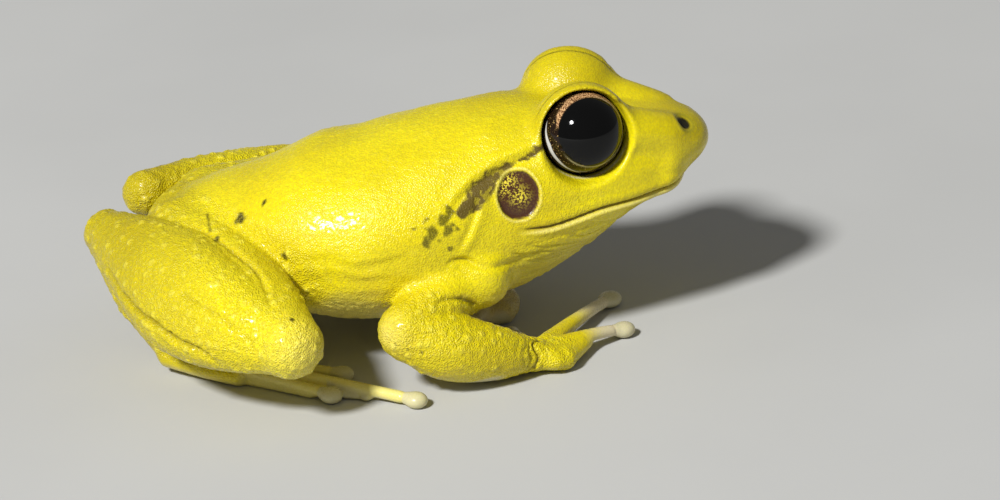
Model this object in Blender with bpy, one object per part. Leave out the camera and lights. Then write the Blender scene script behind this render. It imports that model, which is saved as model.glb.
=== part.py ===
"""Life-size still model of a stony creek frog, sitting with its head raised.

Sizes are in millimetres and become metres in mesh_of. +X runs to the snout, +Y to
the frog's left and +Z up. The frog rests on z = 0.
"""

import bpy
import bmesh
import numpy as np
from mathutils import Matrix, Vector

MM = 0.001
GAP = 0.3

# Driving sizes
EYE_RADIUS = 3.05
LID_RADIUS = 3.6
EYE_SPREAD = 3.7
LID_OPEN_AT = 0.55
TYMPANUM_WIDTH = 3.2
TYMPANUM_HEIGHT = 3.6
TYMPANUM_THICKNESS = 0.6
NOSTRIL_RADIUS = 0.42
WEB_THICKNESS = 0.5
CENTRE_SHIFT = (-2.17, -0.09, 0.0)

# The right and the left eye sit either side of this point, along the head's left
EYE_MIDDLE = np.array([16.0, -1.03, 16.62])
HEAD_LEFT = np.array([-0.13, 0.991, 0.035])
HEAD_FRONT = np.array([0.986, 0.13, 0.10])

# Trunk and head: x, y, z of the widest level, half width, height above, depth below,
# forward lean of the section in degrees, squareness above, squareness below
BODY = (
    (-13.4, 0.9, 9.1, 4.4, 2.4, 3.2, 0, 2.0, 2.0),
    (-11.0, -0.1, 9.4, 5.4, 3.2, 4.0, 0, 2.0, 2.0),
    (-7.5, -1.2, 9.5, 7.0, 4.4, 5.2, 0, 2.1, 2.1),
    (-3.5, -2.1, 9.5, 8.8, 6.2, 6.3, 0, 2.1, 2.1),
    (0.5, -2.5, 9.6, 9.5, 6.6, 6.7, 0, 2.1, 2.2),
    (4.5, -2.4, 10.0, 9.0, 7.1, 6.8, 0, 2.1, 2.2),
    (8.0, -2.1, 10.4, 8.1, 7.3, 6.9, 0, 2.2, 2.1),
    (11.0, -1.77, 10.7, 7.4, 7.4, 6.5, 0, 2.3, 2.0),
    (14.0, -1.35, 11.0, 6.9, 7.0, 5.4, 4, 2.4, 1.9),
    (17.0, -0.95, 11.35, 6.1, 6.3, 4.0, 9, 2.4, 1.9),
    (19.5, -0.6, 11.6, 5.2, 5.3, 2.4, 14, 2.3, 2.0),
    (21.3, -0.35, 11.75, 4.4, 4.2, 1.6, 18, 2.2, 2.0),
)
RUMP_CAP = (2.7, 2.2)
SNOUT_CAP = (2.4, 2.2)

# The rounded snout stands out over the lips: its middle, half sizes and facing
SNOUT_AT = (22.1, -0.2, 14.25)
SNOUT_HALF = (3.65, 3.6, 2.35)
SNOUT_FACING = (0.97, 0.13, -0.12)
NECK_AT = (7.2, -2.2, 10.0)
NECK_FACING = (0.95, 0.13, -0.28)
MOUTH_CORNER_X = 12.0
MOUTH_DEPTH = 0.35
MOUTH_HALF_ANGLE = 2.6

# Joints of the limbs, right then left
ARM = {
    "right": {
        "shoulder": (8.6, -7.0, 7.6),
        "elbow": (3.2, -13.4, 5.1),
        "forearm_shift": (0.1, -0.5, -0.2),
        "wrist": (12.2, -10.3, 1.35),
        "knuckle": (13.8, -9.5, 0.95),
        "fingers": ((8.3, -8.0), (10.2, -4.4), (17.8, 1.25), (18.95, -4.6)),
    },
    "left": {
        "shoulder": (8.6, 3.2, 7.6),
        "elbow": (5.2, 10.0, 4.9),
        "forearm_shift": (-0.9, 0.6, -0.2),
        "wrist": (8.9, 1.2, 1.6),
        "knuckle": (9.0, -0.9, 1.0),
        "fingers": ((3.6, -0.4), (3.0, -3.6), (5.2, -6.2), (7.4, -4.6)),
    },
}
LEG = {
    "right": {
        "hip": (-13.6, -2.6, 9.0),
        "knee": (-4.8, -18.2, 6.6),
        "heel": (-19.6, 0.0, 8.4),
        "ankle": (-14.6, -6.6, 1.9),
        "toes": ((-7.7, -5.4), (-4.8, -7.6), (-1.6, -10.4), (3.98, -15.6), (-2.3, -14.1)),
        "shank_up": (0.53, 0.36, 0.77),
        "shank_shift": (-0.6, -2.2, 0.3),
        "tarsus_shift": (-0.5, -0.2, -0.1),
        "thigh_shift": (-0.3, 1.6, 0.4),
    },
    "left": {
        "hip": (-12.2, 3.4, 8.8),
        "knee": (0.2, 18.4, 5.0),
        "heel": (-17.1, 5.0, 9.5),
        "ankle": (-11.4, 11.0, 1.9),
        "toes": ((-4.9, 8.6), (-1.6, 10.4), (2.2, 12.9), (8.3, 17.6), (1.6, 16.9)),
        "shank_up": (0.47, -0.42, 0.78),
        "shank_shift": (-1.4, 1.2, -1.3),
        "tarsus_shift": (-0.5, 0.2, -0.1),
        "thigh_shift": (0.5, -1.6, 0.4),
    },
}

# Limb sections: share of the length, half width, height above, depth below
UPPER_ARM = ((0, 2.6, 2.5, 2.6), (0.5, 2.3, 2.2, 2.2), (1, 2.0, 2.0, 1.9))
FOREARM = ((0, 2.1, 2.1, 2.1), (0.3, 2.6, 2.3, 2.7), (0.7, 2.0, 1.9, 2.1), (1, 1.3, 1.2, 1.1))
THIGH = ((0, 3.0, 2.9, 3.2), (0.35, 3.2, 3.1, 3.6), (0.75, 2.9, 2.9, 3.0), (1, 2.4, 2.4, 2.4))
SHANK = (
    (0, 2.2, 2.2, 2.2),
    (0.25, 2.8, 3.4, 3.7),
    (0.5, 2.9, 4.3, 4.2),
    (0.75, 2.4, 3.8, 3.0),
    (1, 1.7, 1.8, 1.7),
)
TARSUS = ((0, 1.7, 1.6, 1.6), (0.5, 1.7, 1.5, 1.5), (1, 1.9, 1.3, 1.4))
FOREFOOT = ((0, 1.8, 1.1, 1.2), (0.5, 2.1, 0.9, 1.2), (1, 2.0, 0.7, 1.2))
PALM = ((0, 1.5, 1.1, 1.0), (0.6, 2.0, 1.0, 1.0), (1, 1.9, 0.8, 1.0))

SKIN = (0.80, 0.72, 0.03)
PALE = (0.80, 0.76, 0.48)
EYE_DARK = (0.01, 0.008, 0.006)
DRUM = (0.10, 0.05, 0.03)


def fresh_scene():
    for old in list(bpy.data.objects):
        bpy.data.objects.remove(old, do_unlink=True)
    made = {}
    for name in ("stony_creek_frog", "cutters"):
        made[name] = bpy.data.collections.new(name)
        bpy.context.scene.collection.children.link(made[name])
    return made


def material(name, colour, roughness):
    made = bpy.data.materials.new(name)
    made.use_nodes = True
    shader = made.node_tree.nodes["Principled BSDF"]
    shader.inputs["Base Color"].default_value = (*colour, 1.0)
    shader.inputs["Roughness"].default_value = roughness
    shader.inputs["Metallic"].default_value = 0.0
    return made


def unit(vector):
    vector = np.asarray(vector, float)
    return vector / np.linalg.norm(vector)


def glide(marks, values, where):
    """A smooth curve through values given at marks, read at where."""
    marks = np.asarray(marks, float)
    values = np.asarray(values, float)
    gaps = np.diff(marks)[:, None]
    slopes = np.diff(values, axis=0) / gaps
    bends = np.vstack([slopes[:1], slopes, slopes[-1:]])
    widths = np.vstack([gaps[:1], gaps, gaps[-1:]])
    tangents = (bends[:-1] * widths[1:] + bends[1:] * widths[:-1]) / (widths[:-1] + widths[1:])
    span = np.clip(np.searchsorted(marks, where, side="right") - 1, 0, len(marks) - 2)
    step = gaps[span]
    t = ((where - marks[span])[:, None]) / step
    start, end = values[span], values[span + 1]
    leave, arrive = tangents[span] * step, tangents[span + 1] * step
    return (
        (2 * t**3 - 3 * t**2 + 1) * start
        + (t**3 - 2 * t**2 + t) * leave
        + (3 * t**2 - 2 * t**3) * end
        + (t**3 - t**2) * arrive
    )


def loft(rows, angles, rings, caps, up=(0, 0, 1), grow=0.0, cap_rings=3):
    """Points of a closed form through oval sections, as rings between two poles.

    A row is x, y, z, half width, above, below, lean, squareness above and below. A cap
    is its length and its squareness.
    """
    rows = np.asarray(rows, float)
    marks = np.r_[0, np.cumsum(np.linalg.norm(np.diff(rows[:, :3], axis=0), axis=1))]
    where = np.linspace(0, marks[-1], rings)
    fine = glide(marks, rows, where)
    ahead = np.gradient(fine[:, :3], where, axis=0)
    turns = np.linspace(0, np.pi / 2, cap_rings + 2)[1:-1]
    sections = []
    for end, (length, power) in zip((0, -1), caps):
        along = unit(ahead[end]) * (-1 if end == 0 else 1)
        capped = []
        for turn in turns:
            share = np.sin(turn)
            shrink = (1 - share**power) ** (1 / power)
            row = fine[end].copy()
            row[:3] += along * length * share
            capped.append((row, ahead[end], shrink))
        tip = fine[end, :3] + along * (length + grow)
        sections.append((capped, tip))
    body = [(row, way, 1.0) for row, way in zip(fine, ahead)]
    ordered = sections[0][0][::-1] + body + sections[1][0]
    cosine, sine = np.cos(angles), np.sin(angles)
    grid = []
    for row, way, shrink in ordered:
        forward = unit(way)
        side = unit(np.cross(up, forward))
        lift = np.cross(forward, side)
        lean = np.radians(row[6])
        lift = lift * np.cos(lean) + forward * np.sin(lean)
        wide = row[3] * shrink + grow
        tall = np.where(sine >= 0, row[4], row[5]) * shrink + grow
        power = np.where(sine >= 0, row[7], row[8])
        size = (np.abs(cosine / wide) ** power + np.abs(sine / tall) ** power) ** (-1 / power)
        grid.append(row[:3] + size[:, None] * (cosine[:, None] * side + sine[:, None] * lift))
    return np.array(grid), sections[0][1], sections[1][1]


def even(sides):
    return np.arange(sides) * 2 * np.pi / sides


def mesh_of(name, points, faces, place):
    """A mesh object in metres, its faces turned outwards."""
    mesh = bpy.data.meshes.new(name)
    mesh.from_pydata([tuple(point * MM) for point in points], [], faces)
    shape = bmesh.new()
    shape.from_mesh(mesh)
    bmesh.ops.recalc_face_normals(shape, faces=shape.faces)
    if shape.calc_volume(signed=True) < 0:
        bmesh.ops.reverse_faces(shape, faces=shape.faces)
    shape.to_mesh(mesh)
    shape.free()
    made = bpy.data.objects.new(name, mesh)
    place.objects.link(made)
    return made


def skin_grid(name, grid, first, last, place):
    """A closed mesh over the rings of a grid and its two poles."""
    rings, sides = grid.shape[:2]
    points = np.vstack([grid.reshape(-1, 3), first, last])
    faces = []
    for ring in range(rings - 1):
        for side in range(sides):
            after = (side + 1) % sides
            faces.append((ring * sides + side, ring * sides + after,
                          (ring + 1) * sides + after, (ring + 1) * sides + side))
    for side in range(sides):
        after = (side + 1) % sides
        faces.append((side, rings * sides, after))
        faces.append(((rings - 1) * sides + after, rings * sides + 1, (rings - 1) * sides + side))
    return mesh_of(name, points, faces, place)


def limb_rows(start, end, sizes, shift=(0, 0, 0)):
    """Rows for loft along a line from joint to joint, its middle moved by shift."""
    start, end, shift = (np.asarray(value, float) for value in (start, end, shift))
    rows = []
    for share, wide, above, below in sizes:
        centre = start + (end - start) * share + shift * np.sin(np.pi * share)
        rows.append((*centre, wide, above, below, 0, 2, 2))
    return rows


def limb(name, rows, place, caps, sides=16, rings=7, up=(0, 0, 1), grow=0.0, cap_rings=3):
    grid, first, last = loft(rows, even(sides), rings, caps, up, grow, cap_rings)
    return skin_grid(name, grid, first, last, place)


def ellipsoid(name, centre, sizes, place, facing=(1, 0, 0), across=20, rings=12):
    """A primitive sphere stretched to three half sizes, its first axis along facing."""
    shape = bmesh.new()
    bmesh.ops.create_uvsphere(shape, u_segments=across, v_segments=rings, radius=1.0)
    mesh = bpy.data.meshes.new(name)
    shape.to_mesh(mesh)
    shape.free()
    made = bpy.data.objects.new(name, mesh)
    place.objects.link(made)
    made.scale = [size * MM for size in sizes]
    made.rotation_mode = "QUATERNION"
    made.rotation_quaternion = Vector(facing).to_track_quat("X", "Z")
    made.location = Vector(centre) * MM
    apply_place(made)
    return made


def rod(name, start, end, radii, place, sides=24, squash=1.0):
    """A primitive cylinder or cone from start to end, its height squashed."""
    start, end = Vector(start), Vector(end)
    shape = bmesh.new()
    bmesh.ops.create_cone(shape, cap_ends=True, segments=sides, radius1=radii[0] * MM,
                          radius2=radii[1] * MM, depth=(end - start).length * MM)
    mesh = bpy.data.meshes.new(name)
    shape.to_mesh(mesh)
    shape.free()
    made = bpy.data.objects.new(name, mesh)
    place.objects.link(made)
    made.scale = (squash, 1.0, 1.0)
    made.rotation_mode = "QUATERNION"
    made.rotation_quaternion = (end - start).to_track_quat("Z", "Y")
    made.location = (start + end) / 2 * MM
    apply_place(made)
    return made


def apply_place(made):
    bpy.context.view_layer.update()
    made.data.transform(made.matrix_world)
    made.matrix_basis.identity()


def join(keeper, others, operation):
    """One Boolean of keeper with all the others, applied, and the others removed."""
    group = bpy.data.collections.new("joining")
    bpy.context.scene.collection.children.link(group)
    for other in others:
        group.objects.link(other)
    step = keeper.modifiers.new(operation.lower(), "BOOLEAN")
    step.operation = operation
    step.operand_type = "COLLECTION"
    step.collection = group
    before = keeper.data
    for solver in ("EXACT", "MANIFOLD"):
        step.solver = solver
        keeper.data = before
        graph = bpy.context.evaluated_depsgraph_get()
        keeper.data = bpy.data.meshes.new_from_object(keeper.evaluated_get(graph))
        if is_closed(keeper.data):
            break
    keeper.modifiers.clear()
    for other in others:
        bpy.data.objects.remove(other, do_unlink=True)
    bpy.data.collections.remove(group)
    keep_largest(keeper)
    return keeper


def is_closed(mesh):
    shape = bmesh.new()
    shape.from_mesh(mesh)
    bmesh.ops.remove_doubles(shape, verts=shape.verts, dist=0.000001)
    closed = all(len(edge.link_faces) == 2 for edge in shape.edges)
    shape.free()
    return closed


def keep_largest(made):
    """Drops every closed surface but the largest, after welding stray points."""
    shape = bmesh.new()
    shape.from_mesh(made.data)
    bmesh.ops.remove_doubles(shape, verts=shape.verts, dist=0.00001)
    bmesh.ops.dissolve_degenerate(shape, edges=shape.edges, dist=0.00001)
    left = set(shape.faces)
    groups = []
    while left:
        waiting = [left.pop()]
        found = set(waiting)
        while waiting:
            face = waiting.pop()
            for edge in face.edges:
                for other in edge.link_faces:
                    if other in left:
                        left.discard(other)
                        found.add(other)
                        waiting.append(other)
        groups.append(found)
    largest = max(groups, key=lambda group: sum(face.calc_area() for face in group))
    dropped = [face for group in groups if group is not largest for face in group]
    bmesh.ops.delete(shape, geom=dropped, context="FACES")
    loose = [vertex for vertex in shape.verts if not vertex.link_faces]
    bmesh.ops.delete(shape, geom=loose, context="VERTS")
    bmesh.ops.triangulate(shape, faces=shape.faces)
    shape.to_mesh(made.data)
    shape.free()


def body_form(name, place, grow=0.0):
    """Trunk and head in one, with the mouth line pressed in along both sides."""
    groove = np.radians(MOUTH_HALF_ANGLE)
    angles = np.concatenate([
        np.linspace(groove, np.pi - groove, 15),
        [np.pi],
        np.linspace(np.pi + groove, 2 * np.pi - groove, 13),
        [2 * np.pi],
    ])
    grid, first, last = loft(BODY, angles, 24, (RUMP_CAP, SNOUT_CAP), grow=grow, cap_rings=4)
    if grow == 0.0:
        for column in (15, 29):
            line = grid[:, column]
            inward = grid[:, [0, 14, 16, 28]].mean(axis=1) - line
            inward /= np.linalg.norm(inward, axis=1)[:, None]
            depth = MOUTH_DEPTH * np.clip((line[:, :1] - MOUTH_CORNER_X) / 1.0, 0, 1)
            grid[:, column] = line + inward * depth
    return skin_grid(name, grid, first, last, place)


def eye_centre(side):
    return EYE_MIDDLE + HEAD_LEFT * EYE_SPREAD * (1 if side == "left" else -1)


def eye_axis(side):
    """The way the eye looks: outwards, a little forwards and up."""
    outward = HEAD_LEFT * (1 if side == "left" else -1)
    return unit(outward + 0.16 * HEAD_FRONT + np.array([0, 0, 0.16]))


def tympanum_place(side):
    """Centre and outward way of the round drum behind the eye."""
    outward = HEAD_LEFT * (1 if side == "left" else -1)
    centre = np.array([10.85, -1.75, 13.3]) + outward * 6.85
    return centre, unit(outward + np.array([-0.12, 0, 0.16]))


def brow_ridge(side):
    """The middle of the low ridge from the front of the eye to the nostril."""
    outward = HEAD_LEFT * (1 if side == "left" else -1)
    return EYE_MIDDLE + np.array([4.3, 0.5, -0.75]) + outward * 2.4


def nostril_place(side):
    outward = HEAD_LEFT * (1 if side == "left" else -1)
    centre = np.array([23.55, -0.15, 15.6]) + outward * 1.95
    return centre, unit(0.7 * outward + 0.4 * HEAD_FRONT + np.array([0, 0, 0.5]))


def add_head_and_torso(parts, cutters, arms, legs):
    head = body_form("head", parts)
    lids = [ellipsoid("lid", eye_centre(side), (LID_RADIUS,) * 3, cutters, HEAD_FRONT, 24, 14)
            for side in ("right", "left")]
    ridges = [ellipsoid("ridge", brow_ridge(side), (3.0, 1.15, 1.3), cutters,
                        unit((1.0, -0.25 if side == "left" else 0.5, -0.25)), 14, 10)
              for side in ("right", "left")]
    snout = ellipsoid("snout", SNOUT_AT, SNOUT_HALF, cutters, SNOUT_FACING, 26, 16)
    join(head, [snout] + lids + ridges, "UNION")
    cuts = []
    for side in ("right", "left"):
        centre, way = eye_centre(side), eye_axis(side)
        cuts.append(ellipsoid("socket", centre, (EYE_RADIUS + GAP,) * 3, cutters, way, 24, 14))
        cuts.append(rod("opening", centre + way * LID_OPEN_AT, centre + way * 8,
                        (EYE_RADIUS + 0.1, EYE_RADIUS + 1.6), cutters))
        centre, way = tympanum_place(side)
        cuts.append(rod("drum_recess", centre - way * 0.75, centre + way * 3,
                        (TYMPANUM_HEIGHT / 2 + GAP,) * 2, cutters, 20,
                        TYMPANUM_WIDTH / TYMPANUM_HEIGHT))
        centre, way = nostril_place(side)
        cuts.append(ellipsoid("nostril", centre, (NOSTRIL_RADIUS * 1.5, NOSTRIL_RADIUS,
                                                  NOSTRIL_RADIUS), cutters, way, 10, 8))
    way = Vector(unit(NECK_FACING))
    middle = Vector(NECK_AT)
    torso = body_form("torso", parts)
    behind = rod("behind_neck", middle - way * 60, middle + way * GAP / 2, (40, 40), cutters)
    join(head, cuts + [behind], "DIFFERENCE")
    ahead = rod("ahead_of_neck", middle - way * GAP / 2, middle + way * 60, (40, 40), cutters)
    join(torso, [ahead], "DIFFERENCE")
    return head, torso


def add_eyes(parts):
    for side in ("right", "left"):
        eye = ellipsoid("eye_" + side, eye_centre(side), (EYE_RADIUS,) * 3, parts,
                        eye_axis(side), 20, 12)
        eye.data.materials.append(material("eye_" + side, EYE_DARK, 0.05))
        centre, way = tympanum_place(side)
        drum = rod("tympanum_" + side, centre - way * (TYMPANUM_THICKNESS * 0.5),
                   centre + way * TYMPANUM_THICKNESS * 0.5, (TYMPANUM_HEIGHT / 2,) * 2, parts, 20,
                   TYMPANUM_WIDTH / TYMPANUM_HEIGHT)
        drum.data.materials.append(material("tympanum_" + side, DRUM, 0.4))


ROUND = ((1.9, 2.0), (1.9, 2.0))
SMALL = ((1.0, 2.0), (1.0, 2.0))


def upper_arm(side, place, grow=0.0, name="upper_arm_"):
    arm = ARM[side]
    return limb(name + side, limb_rows(arm["shoulder"], arm["elbow"], UPPER_ARM), place,
                ROUND, 16, 7, grow=grow)


def forearm(side, place, grow=0.0, name="forearm_"):
    arm = ARM[side]
    rows = limb_rows(arm["elbow"], arm["wrist"], FOREARM, arm["forearm_shift"])
    return limb(name + side, rows, place, ((1.9, 2.0), (0.5, 2.0)), 16, 8, grow=grow)


def thigh(side, place, grow=0.0, name="thigh_"):
    leg = LEG[side]
    return limb(name + side, limb_rows(leg["hip"], leg["knee"], THIGH, leg["thigh_shift"]), place,
                ((2.6, 2.0), (2.4, 2.0)), 18, 9, grow=grow)


def shank(side, place, grow=0.0, name="shank_"):
    leg = LEG[side]
    return limb(name + side, limb_rows(leg["knee"], leg["heel"], SHANK, leg["shank_shift"]), place,
                ((1.8, 2.0), (1.6, 2.0)), 18, 9, leg["shank_up"], grow)


def tarsus(side, place, grow=0.0, name="tarsus_"):
    leg = LEG[side]
    return limb(name + side, limb_rows(leg["heel"], leg["ankle"], TARSUS, leg["tarsus_shift"]),
                place,                SMALL, 12, 7, leg["shank_up"], grow)


def digit(start, tip, wide, arch, disc, place):
    """A finger or toe: a tapered tube with an arch, and a flattened disc at its tip."""
    start = np.asarray(start, float)
    end = np.array([tip[0], tip[1], 0.55])
    way = unit(end - start)
    sizes = ((0, wide, wide, wide), (0.4, wide * 0.86, wide * 0.86, wide * 0.86),
             (0.8, wide * 0.72, wide * 0.7, wide * 0.7), (1, wide * 0.75, wide * 0.7, wide * 0.7))
    tube = limb("digit", limb_rows(start, end, sizes, (0, 0, arch)), place,
                ((0.3, 2.0), (0.3, 2.0)), 8, 6, cap_rings=1)
    pad = ellipsoid("disc", end - way * disc * 0.4, (disc * 1.12, disc, 0.6), place, way, 10, 6)
    return [tube, pad]


def web(start, first, second, reach, number, place):
    """The thin skin between two toes, from the foot out to a hollow edge."""
    steps = 5
    points = []
    start = np.asarray(start, float)
    for step in range(steps + 1):
        share = 0.12 + (reach - 0.12) * step / steps
        a = start[:2] + (np.asarray(first, float) - start[:2]) * share
        b = start[:2] + (np.asarray(second, float) - start[:2]) * share
        for across in (-0.04, 0.5, 1.03):
            spot = a + (b - a) * across
            if across == 0.5:
                spot = start[:2] + (spot - start[:2]) * (1 - 0.12 * step / steps)
            points.append((*spot, 0.15 + WEB_THICKNESS + 0.013 * number))
            points.append((*spot, -0.2 - 0.017 * number))
    faces = []
    for step in range(steps):
        base = step * 6
        for column in (0, 2):
            a, b = base + column, base + column + 2
            faces.append((a, b, b + 6, a + 6))
            faces.append((a + 1, a + 7, b + 7, b + 1))
        faces.append((base, base + 6, base + 7, base + 1))
        faces.append((base + 4, base + 5, base + 11, base + 10))
    for base in (0, steps * 6):
        faces.append((base, base + 1, base + 3, base + 2))
        faces.append((base + 2, base + 3, base + 5, base + 4))
    return mesh_of("web", np.array(points), faces, place)


def hand(side, place, cutters):
    arm = ARM[side]
    wrist, knuckle = np.array(arm["wrist"]), np.array(arm["knuckle"])
    palm = limb("hand_" + side, limb_rows(wrist, knuckle, PALM), place,
                ((0.9, 2.0), (1.0, 2.0)), 14, 6)
    pieces = []
    for tip, wide, disc in zip(arm["fingers"], (0.54, 0.54, 0.62, 0.6), (0.76, 0.76, 0.92, 0.82)):
        start = wrist + unit(np.array([*tip, 0.9]) - wrist) * 1.6
        pieces += digit(start, tip, wide, 0.3, disc, cutters)
    return join(palm, pieces, "UNION")


def foot(side, place, cutters):
    leg = LEG[side]
    ankle = np.array(leg["ankle"])
    long_toe = np.array([*leg["toes"][3], 0.9])
    ball = ankle + (long_toe - ankle) * 0.3
    ball[2] = 0.95
    base = limb("foot_" + side, limb_rows(ankle - (0, 0, 0.4), ball, FOREFOOT), place,
                ((0.8, 2.0), (0.8, 2.0)), 14, 6)
    pieces = []
    for number, tip in enumerate(leg["toes"]):
        wide = (0.5, 0.55, 0.6, 0.62, 0.58)[number]
        start = ankle + (np.array([*tip, 0.9]) - ankle) * 0.16
        start[2] = 0.95
        pieces += digit(start, tip, wide, 0.15, 0.62 + 0.06 * min(number, 3), cutters)
    reach = (0.8, 0.8, 0.62, 0.85)
    for number in range(4):
        first, second = leg["toes"][number], leg["toes"][number + 1]
        pieces.append(web((*ankle[:2], 0), first, second, reach[number], number, cutters))
    return join(base, pieces, "UNION")


def floor_block(place):
    shape = bmesh.new()
    bmesh.ops.create_cube(shape, size=1.0)
    mesh = bpy.data.meshes.new("floor")
    shape.to_mesh(mesh)
    shape.free()
    made = bpy.data.objects.new("floor", mesh)
    place.objects.link(made)
    made.scale = (0.12, 0.12, 0.02)
    made.location = (0, 0, -0.01)
    apply_place(made)
    return made


def main():
    made = fresh_scene()
    parts, cutters = made["stony_creek_frog"], made["cutters"]
    head, torso = add_head_and_torso(parts, cutters, ARM, LEG)
    add_eyes(parts)
    sides = ("right", "left")
    for side in sides:
        arm = upper_arm(side, parts)
        join(arm, [body_form("body", cutters, GAP)], "DIFFERENCE")
        fore = forearm(side, parts)
        join(fore, [upper_arm(side, cutters, GAP, "near_"), body_form("body", cutters, GAP)],
             "DIFFERENCE")
        palm = hand(side, parts, cutters)
        join(palm, [forearm(side, cutters, GAP, "near_"), floor_block(cutters)], "DIFFERENCE")
        upper = thigh(side, parts)
        join(upper, [body_form("body", cutters, GAP)], "DIFFERENCE")
        lower = shank(side, parts)
        join(lower, [thigh(side, cutters, GAP, "near_"), body_form("body", cutters, GAP)],
             "DIFFERENCE")
        heel = tarsus(side, parts)
        join(heel, [shank(side, cutters, GAP, "near_"), body_form("body", cutters, GAP),
                    thigh(side, cutters, GAP, "thick_"), floor_block(cutters)], "DIFFERENCE")
        sole = foot(side, parts, cutters)
        join(sole, [tarsus(side, cutters, GAP, "near_"), shank(side, cutters, GAP, "over_"),
                    floor_block(cutters)], "DIFFERENCE")
    for node in parts.objects:
        if not node.data.materials:
            pale = node.name.startswith(("hand_", "foot_"))
            node.data.materials.append(material(node.name, PALE if pale else SKIN, 0.4))
        node.data.transform(Matrix.Translation(Vector(CENTRE_SHIFT) * MM))
        node.data.shade_smooth()
        node.data.set_sharp_from_angle(angle=0.9)


main()
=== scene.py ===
# %% [markdown]
# # A stony creek frog, life size
# This lesson gives a plain solid frog its living surface. The solids say how large the
# frog is and where each joint lies. The lesson repeats their sizes, melts the pieces into
# one skin, presses folds, lids and the mouth into it, and colours it by rules.

import bpy
import numpy as np
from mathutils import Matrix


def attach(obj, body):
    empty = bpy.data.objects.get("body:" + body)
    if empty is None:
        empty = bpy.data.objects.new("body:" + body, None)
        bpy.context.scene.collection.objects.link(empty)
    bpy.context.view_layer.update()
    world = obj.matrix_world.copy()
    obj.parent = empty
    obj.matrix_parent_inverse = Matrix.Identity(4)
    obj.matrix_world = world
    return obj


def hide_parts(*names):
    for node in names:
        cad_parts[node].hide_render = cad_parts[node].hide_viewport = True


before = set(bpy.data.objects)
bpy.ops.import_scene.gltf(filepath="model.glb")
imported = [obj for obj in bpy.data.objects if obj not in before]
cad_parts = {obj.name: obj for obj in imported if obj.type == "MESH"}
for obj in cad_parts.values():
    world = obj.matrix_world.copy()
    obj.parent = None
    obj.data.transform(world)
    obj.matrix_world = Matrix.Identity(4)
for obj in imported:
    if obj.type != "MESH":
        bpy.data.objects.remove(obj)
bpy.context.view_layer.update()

import openvdb
from mathutils import Matrix, Vector, noise

# %% [markdown]
# ## Units and directions
# Every size here is in millimetres, as a model maker would measure the frog. The skin is
# worked out in those units, and is turned into metres as its last step. The head has its
# own directions, because it is turned a little to the frog's left and tilted up.

# %% Units and directions
MM = 0.001
# The frog is measured from a point under its trunk, and the frame from the middle of its box.
CENTRE_SHIFT = np.array([-2.17, -0.09, 0.0])
LIFT = np.array([0.0, 0.0, 1.0])


def unit(vector):
    vector = np.asarray(vector, float)
    return vector / np.linalg.norm(vector)


HEAD_MIDDLE = np.array([10.98, -1.77, 10.7])
HEAD_LEFT = unit((-0.13, 0.991, 0.035))
HEAD_FRONT = np.array([0.986, 0.13, 0.10])
HEAD_FRONT = unit(HEAD_FRONT - HEAD_LEFT * (HEAD_FRONT @ HEAD_LEFT))
HEAD_UP = np.cross(HEAD_FRONT, HEAD_LEFT)
SIDES = {"right": -1.0, "left": 1.0}


def in_head(points):
    """Points as forward of the jaw corners, to the frog's left, and above the mouth."""
    return (points - HEAD_MIDDLE) @ np.array([HEAD_FRONT, HEAD_LEFT, HEAD_UP]).T


print("the head looks along", HEAD_FRONT.round(2))

# %% [markdown]
# ## The camera
# The photograph looks at the frog's right side from a little above, with a long lens and
# the camera rolled a few degrees, so that the frog sits nose up. The camera is made first,
# from the distance, the angles and the number of pixels to a millimetre.

# %% The camera
VIEW_TURN = np.radians(3.0)
VIEW_ABOVE = np.radians(23.0)
VIEW_ROLL = np.radians(4.0)
VIEW_DISTANCE = 350.0
PIXELS_PER_MM = 13.5
PICTURE_WIDTH = 1000.0
TRUNK_MIDDLE = np.array([0.0, -2.5, 9.6])
TRUNK_PIXEL = (365.0, 218.0)
PICTURE_MIDDLE = (500.0, 250.0)

backward = np.array([np.sin(VIEW_TURN) * np.cos(VIEW_ABOVE),
                     -np.cos(VIEW_TURN) * np.cos(VIEW_ABOVE), np.sin(VIEW_ABOVE)])
level = np.array([np.cos(VIEW_TURN), np.sin(VIEW_TURN), 0.0])
upright = np.cross(backward, level)
across = level * np.cos(VIEW_ROLL) - upright * np.sin(VIEW_ROLL)
upward = upright * np.cos(VIEW_ROLL) + level * np.sin(VIEW_ROLL)
right_by = (TRUNK_PIXEL[0] - PICTURE_MIDDLE[0]) / PIXELS_PER_MM
down_by = (TRUNK_PIXEL[1] - PICTURE_MIDDLE[1]) / PIXELS_PER_MM
eye_point = TRUNK_MIDDLE + backward * VIEW_DISTANCE - across * right_by + upward * down_by

camera_data = bpy.data.cameras.new("camera")
camera_data.sensor_width = 36.0
camera_data.lens = PIXELS_PER_MM * VIEW_DISTANCE * camera_data.sensor_width / PICTURE_WIDTH
camera_data.clip_start = 0.01
camera = bpy.data.objects.new("camera", camera_data)
bpy.context.scene.collection.objects.link(camera)
turned = Matrix(np.column_stack([across, upward, backward]).tolist()).to_4x4()
camera.matrix_world = Matrix.Translation(Vector((eye_point + CENTRE_SHIFT) * MM)) @ turned
bpy.context.scene.camera = camera
bpy.context.scene.view_settings.view_transform = "Standard"
print("lens", round(camera_data.lens, 1), "mm at", (eye_point * MM).round(3))

# %% [markdown]
# ## A form through ovals
# Trunk, head and every limb are lofts: ovals set along a line, joined by a smooth surface.
# A sculptor would block these out with clay on wire. Ovals in a short table do the same,
# and each row can be measured on the frog.

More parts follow.
